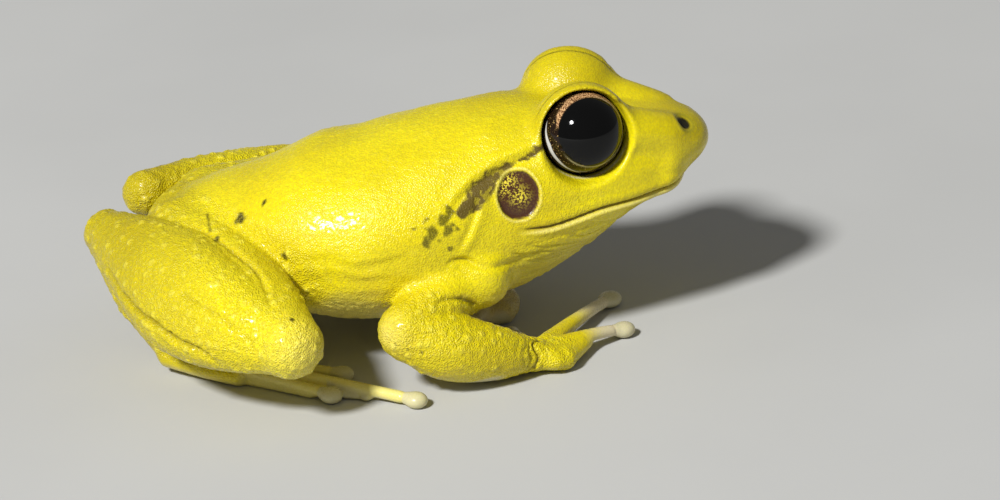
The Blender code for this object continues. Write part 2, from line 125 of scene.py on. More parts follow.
# %% A form through ovals
def glide(marks, values, where):
    """A smooth curve through values given at marks, read at where."""
    marks, values = np.asarray(marks, float), np.asarray(values, float)
    gaps = np.diff(marks)[:, None]
    slopes = np.diff(values, axis=0) / gaps
    bends = np.vstack([slopes[:1], slopes, slopes[-1:]])
    widths = np.vstack([gaps[:1], gaps, gaps[-1:]])
    tangents = (bends[:-1] * widths[1:] + bends[1:] * widths[:-1]) / (widths[:-1] + widths[1:])
    span = np.clip(np.searchsorted(marks, where, side="right") - 1, 0, len(marks) - 2)
    step = gaps[span]
    t = (where - marks[span])[:, None] / step
    return ((2 * t**3 - 3 * t**2 + 1) * values[span]
            + (t**3 - 2 * t**2 + t) * tangents[span] * step
            + (3 * t**2 - 2 * t**3) * values[span + 1]
            + (t**3 - t**2) * tangents[span + 1] * step)


CAP_RINGS = 14


def loft(rows, angles, rings, caps, up=LIFT):
    """Rings of points through ovals, rounded off at both ends.

    A row is x, y, z, half width, height above, depth below, lean, squareness above and
    below. A cap is its length and its squareness.
    """
    rows = np.asarray(rows, float)
    marks = np.r_[0, np.cumsum(np.linalg.norm(np.diff(rows[:, :3], axis=0), axis=1))]
    where = np.linspace(0, marks[-1], rings)
    fine = glide(marks, rows, where)
    ahead = np.gradient(fine[:, :3], where, axis=0)
    turns = np.linspace(0, np.pi / 2, CAP_RINGS)[1:]
    ends = []
    for end, (length, power) in zip((0, -1), caps):
        along = unit(ahead[end]) * (-1 if end == 0 else 1)
        cap = []
        for turn in turns:
            share = np.sin(turn)
            row = fine[end].copy()
            row[:3] += along * length * share
            cap.append((row, ahead[end], max(1 - share**power, 1e-9) ** (1 / power)))
        ends.append(cap)
    body = [(row, way, 1.0) for row, way in zip(fine, ahead)]
    cosine, sine = np.cos(angles), np.sin(angles)
    grid = []
    for row, way, shrink in ends[0][::-1] + body + ends[1]:
        forward = unit(way)
        side = unit(np.cross(up, forward))
        lift = np.cross(forward, side)
        lift = lift * np.cos(np.radians(row[6])) + forward * np.sin(np.radians(row[6]))
        tall = np.where(sine >= 0, row[4], row[5])
        power = np.where(sine >= 0, row[7], row[8])
        size = shrink * (np.abs(cosine / row[3]) ** power
                         + np.abs(sine / tall) ** power) ** (-1 / power)
        grid.append(row[:3] + size[:, None] * (cosine[:, None] * side + sine[:, None] * lift))
    return np.array(grid)


def closed(grid):
    """Points and four-sided faces over a grid of rings, shut at both ends."""
    rings, sides = grid.shape[:2]
    ring, side = np.meshgrid(np.arange(rings - 1), np.arange(sides), indexing="ij")
    after = (side + 1) % sides
    quads = np.stack([ring * sides + side, ring * sides + after,
                      (ring + 1) * sides + after, (ring + 1) * sides + side], -1).reshape(-1, 4)
    points = np.vstack([grid.reshape(-1, 3), grid[0].mean(0), grid[-1].mean(0)])
    near, nearer = np.arange(sides), (np.arange(sides) + 1) % sides
    last = (rings - 1) * sides
    fans = np.vstack([np.stack([near, np.full(sides, rings * sides), nearer], -1),
                      np.stack([last + nearer, np.full(sides, rings * sides + 1),
                                last + near], -1)])
    return points, quads, fans


def even(sides):
    """Angles spaced evenly round a ring."""
    return np.arange(sides) * 2 * np.pi / sides


halfway = glide((0, 1, 2), ((0.0,), (1.0,), (0.0,)), np.array([0.5]))[0, 0]
print("a smooth curve through 0, 1, 0 stands at", halfway.round(3), "half way up")

# %% [markdown]
# ## Clay that melts together
# Real skin has no seams where an arm meets the chest. So each form is poured into a grid
# of small cells that hold the distance to its surface, and forms are joined by a soft
# minimum of those distances. The blend says how wide the fillet between them is. A
# Remesh modifier would join the forms as well, but it would leave a sharp crease.

# %% Clay that melts together
CELL = 0.13
BAND = 9
SPACE_LOW = np.array([-24.0, -22.0, -1.5])
SPACE_HIGH = np.array([28.0, 22.5, 21.5])
FIRST_CELL = np.floor(SPACE_LOW / CELL).astype(int)
CELLS = np.ceil((SPACE_HIGH - SPACE_LOW) / CELL).astype(int)
clay = np.full(CELLS, BAND * CELL, np.float32)
spacing = openvdb.createLinearTransform(voxelSize=CELL)


def soft_least(first, second, blend):
    """The lesser of two distances, rounded where they are within blend of each other."""
    share = np.clip(0.5 + 0.5 * (second - first) / blend, 0, 1)
    return second * (1 - share) + first * share - blend * share * (1 - share)


def block_at(low, high):
    """The cells between two corners, as slices of the clay, and their places in mm."""
    first = np.maximum(np.floor(low / CELL).astype(int) - FIRST_CELL, 0)
    last = np.minimum(np.ceil(high / CELL).astype(int) - FIRST_CELL + 1, CELLS)
    cut = tuple(slice(a, b) for a, b in zip(first, last))
    axes = [(np.arange(a, b) + c) * CELL for a, b, c in zip(first, last, FIRST_CELL)]
    return cut, axes


print("clay cells:", CELLS, "of", CELL, "mm")

# %% [markdown]
# ## Pouring forms and balls
# A loft reaches the clay as a closed mesh, whose distances a level set works out. A ball,
# stretched or round, has a formula of its own, which is quicker. Adding takes the lesser
# of two distances, and carving does the same with the signs turned round.

# %% Pouring forms and balls
def add_form(form, blend):
    """Pours a closed form of points and faces into the clay."""
    points, quads, fans = form
    level_set = openvdb.FloatGrid.createLevelSetFromPolygons(
        points, triangles=fans.astype(np.uint32), quads=quads.astype(np.uint32),
        transform=spacing, halfWidth=BAND)
    reach = BAND * CELL
    cut, axes = block_at(points.min(0) - reach, points.max(0) + reach)
    block = np.empty([len(axis) for axis in axes], np.float32)
    level_set.copyToArray(block, ijk=tuple(int(part.start) + int(first)
                                           for part, first in zip(cut, FIRST_CELL)))
    clay[cut] = soft_least(clay[cut], block, blend)


def ball_distance(axes, centre, sizes, way=(1, 0, 0)):
    """Distance to a ball with three half sizes, its first along way."""
    grid = np.stack(np.meshgrid(*axes, indexing="ij"), -1) - np.asarray(centre)
    first = unit(way)
    side = unit(np.cross(LIFT, first))
    local = grid @ np.array([first, side, np.cross(first, side)]).T / np.asarray(sizes)
    return (np.linalg.norm(local, axis=-1) - 1) * min(sizes)


def add_ball(centre, sizes, blend, way=(1, 0, 0), sign=1):
    """Melts a ball into the clay, or carves it out where sign is -1."""
    reach = max(sizes) + blend
    cut, axes = block_at(np.asarray(centre) - reach, np.asarray(centre) + reach)
    clay[cut] = sign * soft_least(sign * clay[cut], ball_distance(axes, centre, sizes, way), blend)


print("the clay is still empty:", bool((clay > 0).all()))

# %% [markdown]
# ## Trunk and head
# The trunk and the head are one loft from the rump to the snout. The widest level of each
# oval is the flank, and along the head it is the mouth line. The last ovals lean forward,
# so that the snout stands out over the lips.

# %% Trunk and head
BODY = (
    (-13.4, 0.9, 9.1, 4.4, 2.4, 3.2, 0, 2.0, 2.0),
    (-11.0, -0.1, 9.4, 5.4, 3.2, 4.0, 0, 2.0, 2.0),
    (-7.5, -1.2, 9.5, 7.0, 4.4, 5.2, 0, 2.1, 2.1),
    (-3.5, -2.1, 9.5, 8.8, 6.2, 6.3, 0, 2.1, 2.1),
    (0.5, -2.5, 9.6, 9.5, 6.6, 6.7, 0, 2.1, 2.2),
    (4.5, -2.4, 10.0, 9.0, 7.1, 6.8, 0, 2.1, 2.2),
    (8.0, -2.1, 10.4, 8.1, 7.3, 6.9, 0, 2.2, 2.1),
    (11.0, -1.77, 10.7, 7.4, 7.4, 6.5, 0, 2.3, 2.0),
    (14.0, -1.35, 11.0, 6.9, 7.0, 5.4, 4, 2.4, 1.9),
    (17.0, -0.95, 11.35, 6.1, 6.3, 4.0, 9, 2.4, 1.9),
    (19.5, -0.6, 11.6, 5.2, 5.3, 2.4, 14, 2.3, 2.0),
    (21.3, -0.35, 11.75, 4.4, 4.2, 1.6, 18, 2.2, 2.0),
)
RUMP_CAP = (2.7, 2.2)
SNOUT_CAP = (2.4, 2.2)
SNOUT_AT = (22.1, -0.2, 14.25)
SNOUT_HALF = (3.65, 3.6, 2.35)
SNOUT_FACING = (0.97, 0.13, -0.12)
TRUNK_SIDES = 96
TRUNK_RINGS = 110
trunk = closed(loft(BODY, even(TRUNK_SIDES), TRUNK_RINGS, (RUMP_CAP, SNOUT_CAP)))
add_form(trunk, blend=0.01)
add_ball(SNOUT_AT, SNOUT_HALF, blend=0.9, way=SNOUT_FACING)
print("trunk and head poured, from x", trunk[0][:, 0].min().round(1), "to", trunk[0][:, 0].max().round(1))

# %% [markdown]
# ## Eyelids and sockets
# A frog's eye stands up from the skull like a ball under a blanket, and a ridge runs from
# it towards the nostril. A ball of clay is melted into the head over each eye, then the
# eyeball's own room is carved out of it, and a wide cone opens the lids. The rounded rim
# that is left is the lid margin. A separate ring would show a seam where the lid begins.

# %% Eyelids and sockets
EYE_RADIUS = 3.05
EYE_ROOM = 0.06
EYE_SPREAD = 3.7
EYE_MIDDLE = np.array([16.0, -1.03, 16.62])
LID_RADIUS = 3.68
LID_OPEN_AT = 0.5
LID_GAP = 0.12
LID_FLARE = 0.3
LID_RIM = 0.4
RIDGE_START = np.array([8.3, 2.9, 4.7])
RIDGE_END = np.array([11.9, 2.0, 3.3])
RIDGE_THICK = (1.3, 0.9)


def eye_centre(side):
    return EYE_MIDDLE + HEAD_LEFT * EYE_SPREAD * SIDES[side]


def eye_axis(side):
    """The way the eye looks: outwards, a little forwards and up."""
    return unit(HEAD_LEFT * SIDES[side] + 0.16 * HEAD_FRONT + 0.16 * LIFT)


for side, sign in SIDES.items():
    for share in np.linspace(0, 1, 12):
        ahead, beside, high = RIDGE_START + (RIDGE_END - RIDGE_START) * share
        place = HEAD_MIDDLE + HEAD_FRONT * ahead + HEAD_LEFT * sign * beside + HEAD_UP * high
        thick = np.interp(share, (0, 1), RIDGE_THICK)
        add_ball(place, (thick,) * 3, blend=1.1)
    add_ball(eye_centre(side), (LID_RADIUS,) * 3, blend=0.9)
for side in SIDES:
    centre = eye_centre(side)
    add_ball(centre, (EYE_RADIUS + EYE_ROOM,) * 3, blend=0.08, sign=-1)
    cut, axes = block_at(centre - 2 * LID_RADIUS, centre + 2 * LID_RADIUS)
    grid = np.stack(np.meshgrid(*axes, indexing="ij"), -1) - centre
    ahead = grid @ eye_axis(side)
    aside = np.sqrt(np.maximum((grid**2).sum(-1) - ahead**2, 0))
    cone = EYE_RADIUS + LID_GAP + LID_FLARE * (ahead - LID_OPEN_AT)
    clay[cut] = -soft_least(-clay[cut], np.maximum(LID_OPEN_AT - ahead, aside - cone), LID_RIM)
print("lids opened at", eye_centre("right").round(2), eye_centre("left").round(2))

# %% [markdown]
# ## Where the joints are
# A pose is easiest to keep true as a list of joints. These are the solid frog's own, so the
# skin lies where the solid limbs lie. A shift moves the middle of a limb off the straight
# line between its joints, as muscle does. The two sides sit differently, so each has a row.

# %% Where the joints are
ARM = {
    "right": {
        "shoulder": (8.6, -7.0, 7.6),
        "elbow": (3.2, -13.4, 5.1),
        "forearm_shift": (0.1, -0.5, -0.2),
        "wrist": (12.2, -10.3, 1.35),
        "knuckle": (13.8, -9.5, 0.95),
        "fingers": ((8.3, -8.0), (10.2, -4.4), (17.8, 1.25), (18.95, -4.6)),
    },
    "left": {
        "shoulder": (8.6, 3.2, 7.6),
        "elbow": (5.2, 10.0, 4.9),
        "forearm_shift": (-0.9, 0.6, -0.2),
        "wrist": (8.9, 1.2, 1.6),
        "knuckle": (9.0, -0.9, 1.0),
        "fingers": ((3.6, -0.4), (3.0, -3.6), (5.2, -6.2), (7.4, -4.6)),
    },
}
LEG = {
    "right": {
        "hip": (-13.6, -2.6, 9.0),
        "knee": (-4.8, -18.2, 6.6),
        "heel": (-19.6, 0.0, 8.4),
        "ankle": (-14.6, -6.6, 1.9),
        "toes": ((-7.7, -5.4), (-4.8, -7.6), (-1.6, -10.4), (3.98, -15.6), (-2.3, -14.1)),
        "shank_up": (0.53, 0.36, 0.77),
        "shank_shift": (-0.6, -2.2, 0.3),
        "tarsus_shift": (-0.5, -0.2, -0.1),
        "thigh_shift": (-0.3, 1.6, 0.4),
    },
    "left": {
        "hip": (-12.2, 3.4, 8.8),
        "knee": (0.2, 18.4, 5.0),
        "heel": (-17.1, 5.0, 9.5),
        "ankle": (-11.4, 11.0, 1.9),
        "toes": ((-4.9, 8.6), (-1.6, 10.4), (2.2, 12.9), (8.3, 17.6), (1.6, 16.9)),
        "shank_up": (0.47, -0.42, 0.78),
        "shank_shift": (-1.4, 1.2, -1.3),
        "tarsus_shift": (-0.5, 0.2, -0.1),
        "thigh_shift": (0.5, -1.6, 0.4),
    },
}
for side, leg in LEG.items():
    shank_length = np.linalg.norm(np.subtract(leg["knee"], leg["heel"]))
    print("from knee to heel on the", side, shank_length.round(1), "mm")

# %% [markdown]
# ## Limbs
# Each limb is a loft from joint to joint. A row of its table is the share of the way along,
# half the width, the height above and the depth below. The blend is wide at a shoulder,
# where skin runs over from the chest, and narrow at a knee, where shank and thigh only touch.

# %% Limbs
UPPER_ARM = ((0, 2.6, 2.5, 2.6), (0.5, 2.3, 2.2, 2.2), (1, 2.0, 2.0, 1.9))
FOREARM = ((0, 2.1, 2.1, 2.1), (0.3, 2.6, 2.3, 2.7), (0.7, 2.0, 1.9, 2.1), (1, 1.3, 1.2, 1.1))
THIGH = ((0, 3.0, 2.9, 3.2), (0.35, 3.2, 3.1, 3.6), (0.75, 2.9, 2.9, 3.0), (1, 2.4, 2.4, 2.4))
SHANK = ((0, 2.2, 2.2, 2.2), (0.25, 2.8, 3.4, 3.7), (0.5, 2.9, 4.3, 4.2),
         (0.75, 2.4, 3.8, 3.0), (1, 1.7, 1.8, 1.7))
TARSUS = ((0, 1.7, 1.6, 1.6), (0.5, 1.7, 1.5, 1.5), (1, 1.9, 1.3, 1.4))
SHOULDER_MUSCLE = (2.1, 2.0, 2.3)
LIMB_RINGS = 40


def limb(start, end, sizes, caps, shift=(0, 0, 0), up=LIFT):
    """A closed loft from joint to joint, its middle moved by shift."""
    start, end, shift = (np.asarray(value, float) for value in (start, end, shift))
    rows = []
    for share, wide, above, below in sizes:
        centre = start + (end - start) * share + shift * np.sin(np.pi * share)
        rows.append((*centre, wide, above, below, 0, 2, 2))
    return closed(loft(rows, even(LIMB_RINGS), LIMB_RINGS, [(cap, 2.0) for cap in caps], up))


def shoulder_muscle(side):
    """The middle of the muscle that rounds the shoulder."""
    return np.add(ARM[side]["shoulder"], (0.1, 2.0 * SIDES[side], -0.3))


for side in SIDES:
    arm, leg = ARM[side], LEG[side]
    thigh = limb(leg["hip"], leg["knee"], THIGH, (2.6, 2.4), leg["thigh_shift"])
    shank = limb(leg["knee"], leg["heel"], SHANK, (1.8, 1.6), leg["shank_shift"], leg["shank_up"])
    tarsus = limb(leg["heel"], leg["ankle"], TARSUS, (1.0, 1.0), leg["tarsus_shift"], leg["shank_up"])
    add_form(thigh, blend=0.55)
    add_form(shank, blend=0.28)
    add_form(tarsus, blend=0.35)
    add_form(limb(arm["shoulder"], arm["elbow"], UPPER_ARM, (1.9, 1.9)), blend=0.9)
    add_ball(shoulder_muscle(side), SHOULDER_MUSCLE, blend=0.7)
    add_form(limb(arm["elbow"], arm["wrist"], FOREARM, (1.9, 0.5), arm["forearm_shift"]), blend=0.2)
print("limbs poured, with", LIMB_RINGS, "rings each")

# %% [markdown]
# ## Fingers, toes and webs
# A finger or toe is a thin tapering tube that ends in a flattened disc, which is how this
# frog climbs. Webs of skin run between the toes for swimming. They are rows of small balls
# melted side by side, because a sheet as thin as a web would fall between the cells.

# %% Fingers, toes and webs
TIP_HEIGHT = 0.55
ROOT_HEIGHT = 0.9
WEB_HEIGHT = 0.32
DISC_HALF_HEIGHT = 0.6
DIGIT_BLEND = 0.22
WEB_BALL = (0.55, 0.55, 0.34)
WEB_ROWS = 16
WEB_ACROSS = 7
WEB_SAG = 0.14
tips = []


def digit(start, tip, wide, arch, disc, root=1.0):
    """A tube from start to tip that arches up, root times wider at its start, and its disc."""
    end = np.array([*tip, TIP_HEIGHT])
    way = unit(end - start)
    sizes = ((0, wide * root, wide * root, wide * root),
             (0.4, wide * (0.56 + 0.3 * root), wide * 0.86, wide * 0.86),
             (0.8, wide * 0.76, wide * 0.72, wide * 0.72), (1, wide * 0.76, wide * 0.7, wide * 0.7))
    add_form(limb(start, end, sizes, (0.3, 0.3), (0, 0, arch)), DIGIT_BLEND)
    disc_middle = end - way * disc * 0.4
    add_ball(disc_middle, (disc * 1.12, disc, DISC_HALF_HEIGHT), DIGIT_BLEND, way)
    tips.append((way, disc_middle, disc, np.linalg.norm(end - start)))


def web(start, first, second, reach):
    """Rows of small balls between two toes, with a hollow outer edge."""
    first, second = np.asarray(first, float), np.asarray(second, float)
    for share in np.linspace(0.15, reach, WEB_ROWS):
        for between in np.linspace(0.1, 0.9, WEB_ACROSS):
            sag = 1 - WEB_SAG * np.sin(np.pi * between) * share / reach
            spot = start + (first + (second - first) * between - start) * share * sag
            add_ball((*spot, WEB_HEIGHT), WEB_BALL, blend=0.12)


print("a web is made of balls", WEB_BALL[0] * 2, "mm wide")

# %% [markdown]
# ## Hands and feet
# Fingers fan out from the palm and toes from the ball of the foot. The outer finger has a
# broad fleshy root, which runs on from the edge of the palm. Last, everything below the
# floor is cut away, so palms, soles and discs lie flat on it as soft skin does.

# %% Hands and feet
PALM = ((0, 1.5, 1.1, 1.0), (0.6, 2.0, 1.0, 1.0), (1, 1.9, 0.8, 1.0))
FOREFOOT = ((0, 1.8, 1.1, 1.2), (0.5, 2.1, 0.9, 1.2), (1, 2.0, 0.7, 1.2))
OUTER_ROOT = ((0, 1.05, 0.8, 0.85), (1, 0.42, 0.4, 0.4))
FINGER_WIDE = (0.54, 0.54, 0.62, 0.6)
FINGER_DISC = (0.76, 0.76, 0.92, 0.82)
TOE_WIDE = (0.5, 0.55, 0.6, 0.62, 0.58)
TOE_DISC = (0.62, 0.68, 0.74, 0.8, 0.8)
WEB_REACH = (0.8, 0.8, 0.62, 0.85)
SOLE_HEIGHT = 0.95
for side in SIDES:
    arm, leg = ARM[side], LEG[side]
    wrist, knuckle, ankle = (np.array(place) for place in (arm["wrist"], arm["knuckle"], leg["ankle"]))
    add_form(limb(wrist, knuckle, PALM, (0.9, 1.0)), blend=0.5)
    for tip, wide, disc in zip(arm["fingers"], FINGER_WIDE, FINGER_DISC):
        start = wrist + unit((*tip, ROOT_HEIGHT) - wrist) * 1.6
        digit(start, tip, wide, arch=0.3, disc=disc, root=1.4)
    outer_way, outer_tip = tips[-1][:2]
    aside = np.append(np.subtract(arm["fingers"][3], arm["fingers"][2]), 0.0)
    aside = unit(aside - outer_way * (aside @ outer_way))
    outer_root = limb(knuckle + aside * 0.7, knuckle + (outer_tip - knuckle) * 0.45, OUTER_ROOT,
                      (0.5, 0.3))
    add_form(outer_root, blend=0.45)
    ball = ankle + ((*leg["toes"][3], ROOT_HEIGHT) - ankle) * 0.3
    ball[2] = SOLE_HEIGHT
    add_form(limb(ankle - (0, 0, 0.4), ball, FOREFOOT, (0.8, 0.8)), blend=0.5)
    for tip, wide, disc in zip(leg["toes"], TOE_WIDE, TOE_DISC):
        start = ankle + ((*tip, ROOT_HEIGHT) - ankle) * 0.16
        start[2] = SOLE_HEIGHT
        digit(start, tip, wide, arch=0.15, disc=disc)
    for number, reach in enumerate(WEB_REACH):
        web(ankle[:2], leg["toes"][number], leg["toes"][number + 1], reach)

heights = block_at(SPACE_LOW, SPACE_HIGH)[1][2].astype(np.float32)
clay = -soft_least(-clay, heights, blend=0.1)
print("hands and feet poured:", len(tips), "fingers and toes")

# %% [markdown]
# ## From clay to skin
# The surface of the clay is where its distance is nought. The mesh that follows it has
# even, small faces, so folds and grain can be pressed into it by moving points.

# %% From clay to skin
poured = openvdb.FloatGrid(BAND * CELL)
poured.transform = spacing
poured.copyFromArray(clay, ijk=tuple(int(first) for first in FIRST_CELL))
skin_points, skin_faces = poured.convertToQuads(0.0)
skin_points = np.asarray(skin_points, float)
skin_faces = np.asarray(skin_faces, int)
del clay, poured
corners = skin_points[skin_faces]
turned_out = np.einsum("ij,ij->i", corners[:, 0],
                       np.cross(corners[:, 2] - corners[:, 0], corners[:, 3] - corners[:, 1])).sum()
if turned_out < 0:
    skin_faces = skin_faces[:, ::-1]
print("skin points:", len(skin_points), "faces:", len(skin_faces))


def normals_of(points):
    """A unit vector outwards at each point."""
    corner = points[skin_faces]
    facing = np.cross(corner[:, 2] - corner[:, 0], corner[:, 3] - corner[:, 1])
    total = np.zeros_like(points)
    for column in range(4):
        for axis in range(3):
            total[:, axis] += np.bincount(skin_faces[:, column], facing[:, axis], len(points))
    return total / np.maximum(np.linalg.norm(total, axis=1), 1e-12)[:, None]


# %% [markdown]
# ## Bells and ramps
# Nothing on a living thing starts or stops at a line. Two small formulas make every edge
# from here on a soft one. A ramp goes from 0 to 1 between two values, and a bell is 1 at
# one place and falls off on both sides of it.

# %% Bells and ramps
def bell(distance, width):
    """1 where distance is nought, falling off smoothly over about twice width."""
    return np.exp(-(distance / width) ** 2)


def ramp(value, low, high):
    """0 below low, 1 above high, smooth between."""
    t = np.clip((value - low) / (high - low), 0, 1)
    return t * t * (3 - 2 * t)


print("a bell of width 1, at 0, 1 and 2:", bell(np.arange(3.0), 1.0).round(3))

# %% [markdown]
# ## Smoothing the skin
# The mesh still shows the cells that it came from. Each point is drawn a little towards
# its neighbours' mean, twice all over and many times on the snout, where the ball of the
# snout should melt into the head without an edge. The lids are left sharp.

# %% Smoothing the skin
edges = np.sort(np.vstack([skin_faces[:, [a, (a + 1) % 4]] for a in range(4)]), axis=1)
edges = np.unique(edges, axis=0)
neighbours = np.bincount(edges.ravel(), minlength=len(skin_points))


def evened(values, rounds, weight=0.5):
    """Each point's value drawn towards its neighbours' mean, by one weight or one for each."""
    values = values.copy()
    for _ in range(rounds):
        total = np.zeros_like(values)
        for axis in range(values.shape[1]):
            total[:, axis] = (np.bincount(edges[:, 0], values[edges[:, 1], axis], len(values))
                              + np.bincount(edges[:, 1], values[edges[:, 0], axis], len(values)))
        values += (total / neighbours[:, None] - values) * np.reshape(weight, (-1, 1))
    return values


skin_points = evened(skin_points, 2)
snout = ramp(in_head(skin_points)[:, 0], 9.2, 11.0)
for side in SIDES:
    from_eye = np.linalg.norm(skin_points - eye_centre(side), axis=1)
    snout *= ramp(from_eye, LID_RADIUS, LID_RADIUS + 1.0)
skin_points = evened(skin_points, 30, 0.5 * snout)
skin_points[:, 2] = np.maximum(skin_points[:, 2], 0.0)
print("skin smoothed, highest point at", skin_points[:, 2].max().round(2), "mm")

# %% [markdown]
# ## Lines on the skin
# Folds and creases are lines on the body. They could be cut with a sculpting brush, but a
# line in a table can be measured and mended. One helper finds how far each point of the
# skin lies from such a line, and how far along it.

# %% Lines on the skin
FAR = 9.9


def curve(points, count=40):
    """A smooth line through a few points."""
    points = np.asarray(points, float)
    marks = np.r_[0, np.cumsum(np.linalg.norm(np.diff(points, axis=0), axis=1))]
    return glide(marks, points, np.linspace(0, marks[-1], count))


def near_line(places, line, reach):
    """How far each place is from a line, and how far along the line it is, 0 to 1."""
    away, along = np.full(len(places), FAR), np.zeros(len(places))
    inside = np.all((places > line.min(0) - reach) & (places < line.max(0) + reach), axis=1)
    chosen = np.flatnonzero(inside)
    spots, least, where = places[chosen], np.full(len(chosen), FAR), np.zeros(len(chosen))
    length = np.r_[0, np.cumsum(np.linalg.norm(np.diff(line, axis=0), axis=1))]
    for number in range(len(line) - 1):
        start, step = line[number], line[number + 1] - line[number]
        t = np.clip((spots - start) @ step / (step @ step), 0, 1)
        gap = np.linalg.norm(spots - start - t[:, None] * step, axis=1)
        closer = gap < least
        least[closer] = gap[closer]
        where[closer] = (length[number] + t * np.linalg.norm(step))[closer] / length[-1]
    away[chosen], along[chosen] = least, where
    return away, along


sample_line = curve(((0, 0), (1, 1), (2, 0)))
print("a curve through 3 points has", len(sample_line), "points")

# %% [markdown]
# ## From the right side to the left
# The photograph shows the frog's right side, so lines and flecks are placed there. They
# are carried to the left by three joints of the limb they lie on, and not by a mirror,
# because the two sides don't sit in the same pose. The trunk has three such places too.

# %% From the right side to the left
TRUNK = {side: {"fore": (8, 6 * sign, 9), "middle": (0, 8 * sign, 6), "rear": (-8, 6 * sign, 9)}
         for side, sign in SIDES.items()}
THREE_JOINTS = {
    "arm": (ARM, ("shoulder", "elbow", "wrist")),
    "leg": (LEG, ("hip", "knee", "heel")),
    "trunk": (TRUNK, ("fore", "middle", "rear")),
}


def bone_frame(part, side):
    """The middle joint of three, and three directions fixed to them."""
    limbs, joints = THREE_JOINTS[part]
    first, middle, last = (np.array(limbs[side][joint], float) for joint in joints)
    out_of_plane = unit(np.cross(first - middle, last - middle)) * -SIDES[side]
    return middle, np.array([first - middle, last - middle, out_of_plane])


def carried(line, part):
    """The same line on the right and on the left of one part."""
    line = np.asarray(line, float)
    middle, frame_right = bone_frame(part, "right")
    shares = (line - middle) @ np.linalg.inv(frame_right)
    middle, frame_left = bone_frame(part, "left")
    return [line, middle + shares @ frame_left]


print("the right elbow is carried to", carried([ARM["right"]["elbow"]], "arm")[1].round(1)[0])

# %% [markdown]
# ## Ready for folds
# Each fold moves points along the skin's own normal, and the moves add up in one array. A
# mask is a number from 0 to 1 at each point, which says where a colour lies. Two drifting
# noises make lines wander and edges ragged, because nothing on skin is straight.

# %% Ready for folds
masks = {}
bare = skin_points.copy()
out = normals_of(bare)
head = in_head(bare)
beside = np.abs(head[:, 1])
flat_head = head[:, [0, 2]]
facing_side = ramp(np.abs(out @ HEAD_LEFT), 0.15, 0.5) * (beside > 3.0)
moved = np.zeros(len(bare))


def rough(places, seed):
    """Smooth drifting values of about -1 to 1, one for each place."""
    shift = Vector((seed * 7.3, seed * 3.1, seed * 1.7))
    return np.array([noise.noise(Vector(place) + shift) for place in places]) * 1.6


def add_masks(*names):
    """Starts masks that are nought everywhere."""
    for name in names:
        masks[name] = np.zeros(len(skin_points))


wander = rough(bare / 1.1, seed=3)
ragged = rough(bare / 0.42, seed=11)
print("skin ready for folds:", len(bare), "points")

# %% [markdown]
# ## Mouth
# The mouth runs from each corner round the snout. Its height is read from how far forward
# a point is. The line is a narrow groove with a soft lip below it, and it thins out at the
# corners behind the eye.

# %% Mouth
MOUTH_LINE = ((-0.8, 0.5), (0.3, 0.27), (2.0, 0.02), (4.0, 0.08), (5.8, 0.2), (9.0, -0.05),
              (12.5, -0.1), (16.0, -0.05))
MOUTH_DEPTH = 0.36
UPPER_LIP = 0.09
LOWER_LIP = 0.14
line = curve(MOUTH_LINE)
above_mouth = head[:, 2] - np.interp(head[:, 0], line[:, 0], line[:, 1])
mouth_reach = ramp(head[:, 0], -0.7, 1.6)
moved -= MOUTH_DEPTH * bell(above_mouth, 0.11) * mouth_reach
moved += UPPER_LIP * bell(above_mouth - 0.55, 0.35) * mouth_reach
moved += LOWER_LIP * bell(above_mouth + 0.36, 0.22) * mouth_reach
masks["mouth"] = bell(above_mouth, 0.1) * mouth_reach
masks["lip"] = bell(above_mouth + 0.24, 0.1) * mouth_reach
print("mouth from", line[0].round(2), "to", line[-1].round(2))

# %% [markdown]
# ## Eardrums
# The eardrum is a thin disc of skin set into a ring of gristle behind the eye. It is
# pressed in as a shallow dish, tighter at the middle, with a low narrow rim. Golden grains
# gather at its middle and towards its upper rear edge.

# %% Eardrums
DRUM_AT = (0.17, 2.88)
DRUM_HALF = (1.58, 1.8)
DRUM_DEPTH = 0.22
DRUM_RIM = 0.07
# Forward and up from the eardrum's middle, how wide, and how dense.
DRUM_GRAINS = ((0.1, -0.1, 0.62, 1.0), (-0.7, 1.25, 0.75, 1.0), (-1.2, 0.75, 0.4, 0.8))
drum = np.hypot((head[:, 0] - DRUM_AT[0]) / DRUM_HALF[0], (head[:, 2] - DRUM_AT[1]) / DRUM_HALF[1])
drum += 0.03 * wander
drum_side = (beside > 5.0) * ramp(np.abs(out @ HEAD_LEFT), 0.25, 0.45)
moved -= (DRUM_DEPTH - 0.1 * bell(drum, 0.5)) * (1 - ramp(drum, 0.86, 1.0)) * drum_side
moved += DRUM_RIM * bell(drum - 1.06, 0.06) * drum_side
masks["drum"] = (1 - ramp(drum, 0.93, 0.98)) * drum_side
masks["drum_rim"] = bell(drum - 1.03, 0.035) * drum_side
from_middle = flat_head - DRUM_AT
golden = sum(full * bell(np.linalg.norm(from_middle - (front, up), axis=1), wide)
             for front, up, wide, full in DRUM_GRAINS)
masks["drum_grains"] = masks["drum"] * np.clip(golden, 0, 1)
print("eardrum half sizes", DRUM_HALF, "mm")

# %% [markdown]
# ## Folds of the head and shoulder
# A frog's skin is loose. One fold hangs over the eardrum from the eye to the shoulder, one
# runs down behind the jaw, and one lies where the throat meets the arm. Each is a raised
# line with a groove beneath it, which fades along its length.

# %% Folds of the head and shoulder
def fold(line, raised, sunk, wide, groove_off, fade_from):
    """A ridge along a line seen from the side, with a groove beside it."""
    line = curve(line)
    away, along = near_line(flat_head, line, 2.5)
    fade = facing_side * ramp(along, 0.0, 0.16) * (1 - ramp(along, fade_from, 1.0))
    groove = near_line(flat_head, line + np.asarray(groove_off), 2.5)[0]
    return (raised * bell(away, wide) - sunk * bell(groove, wide * 0.75)) * fade


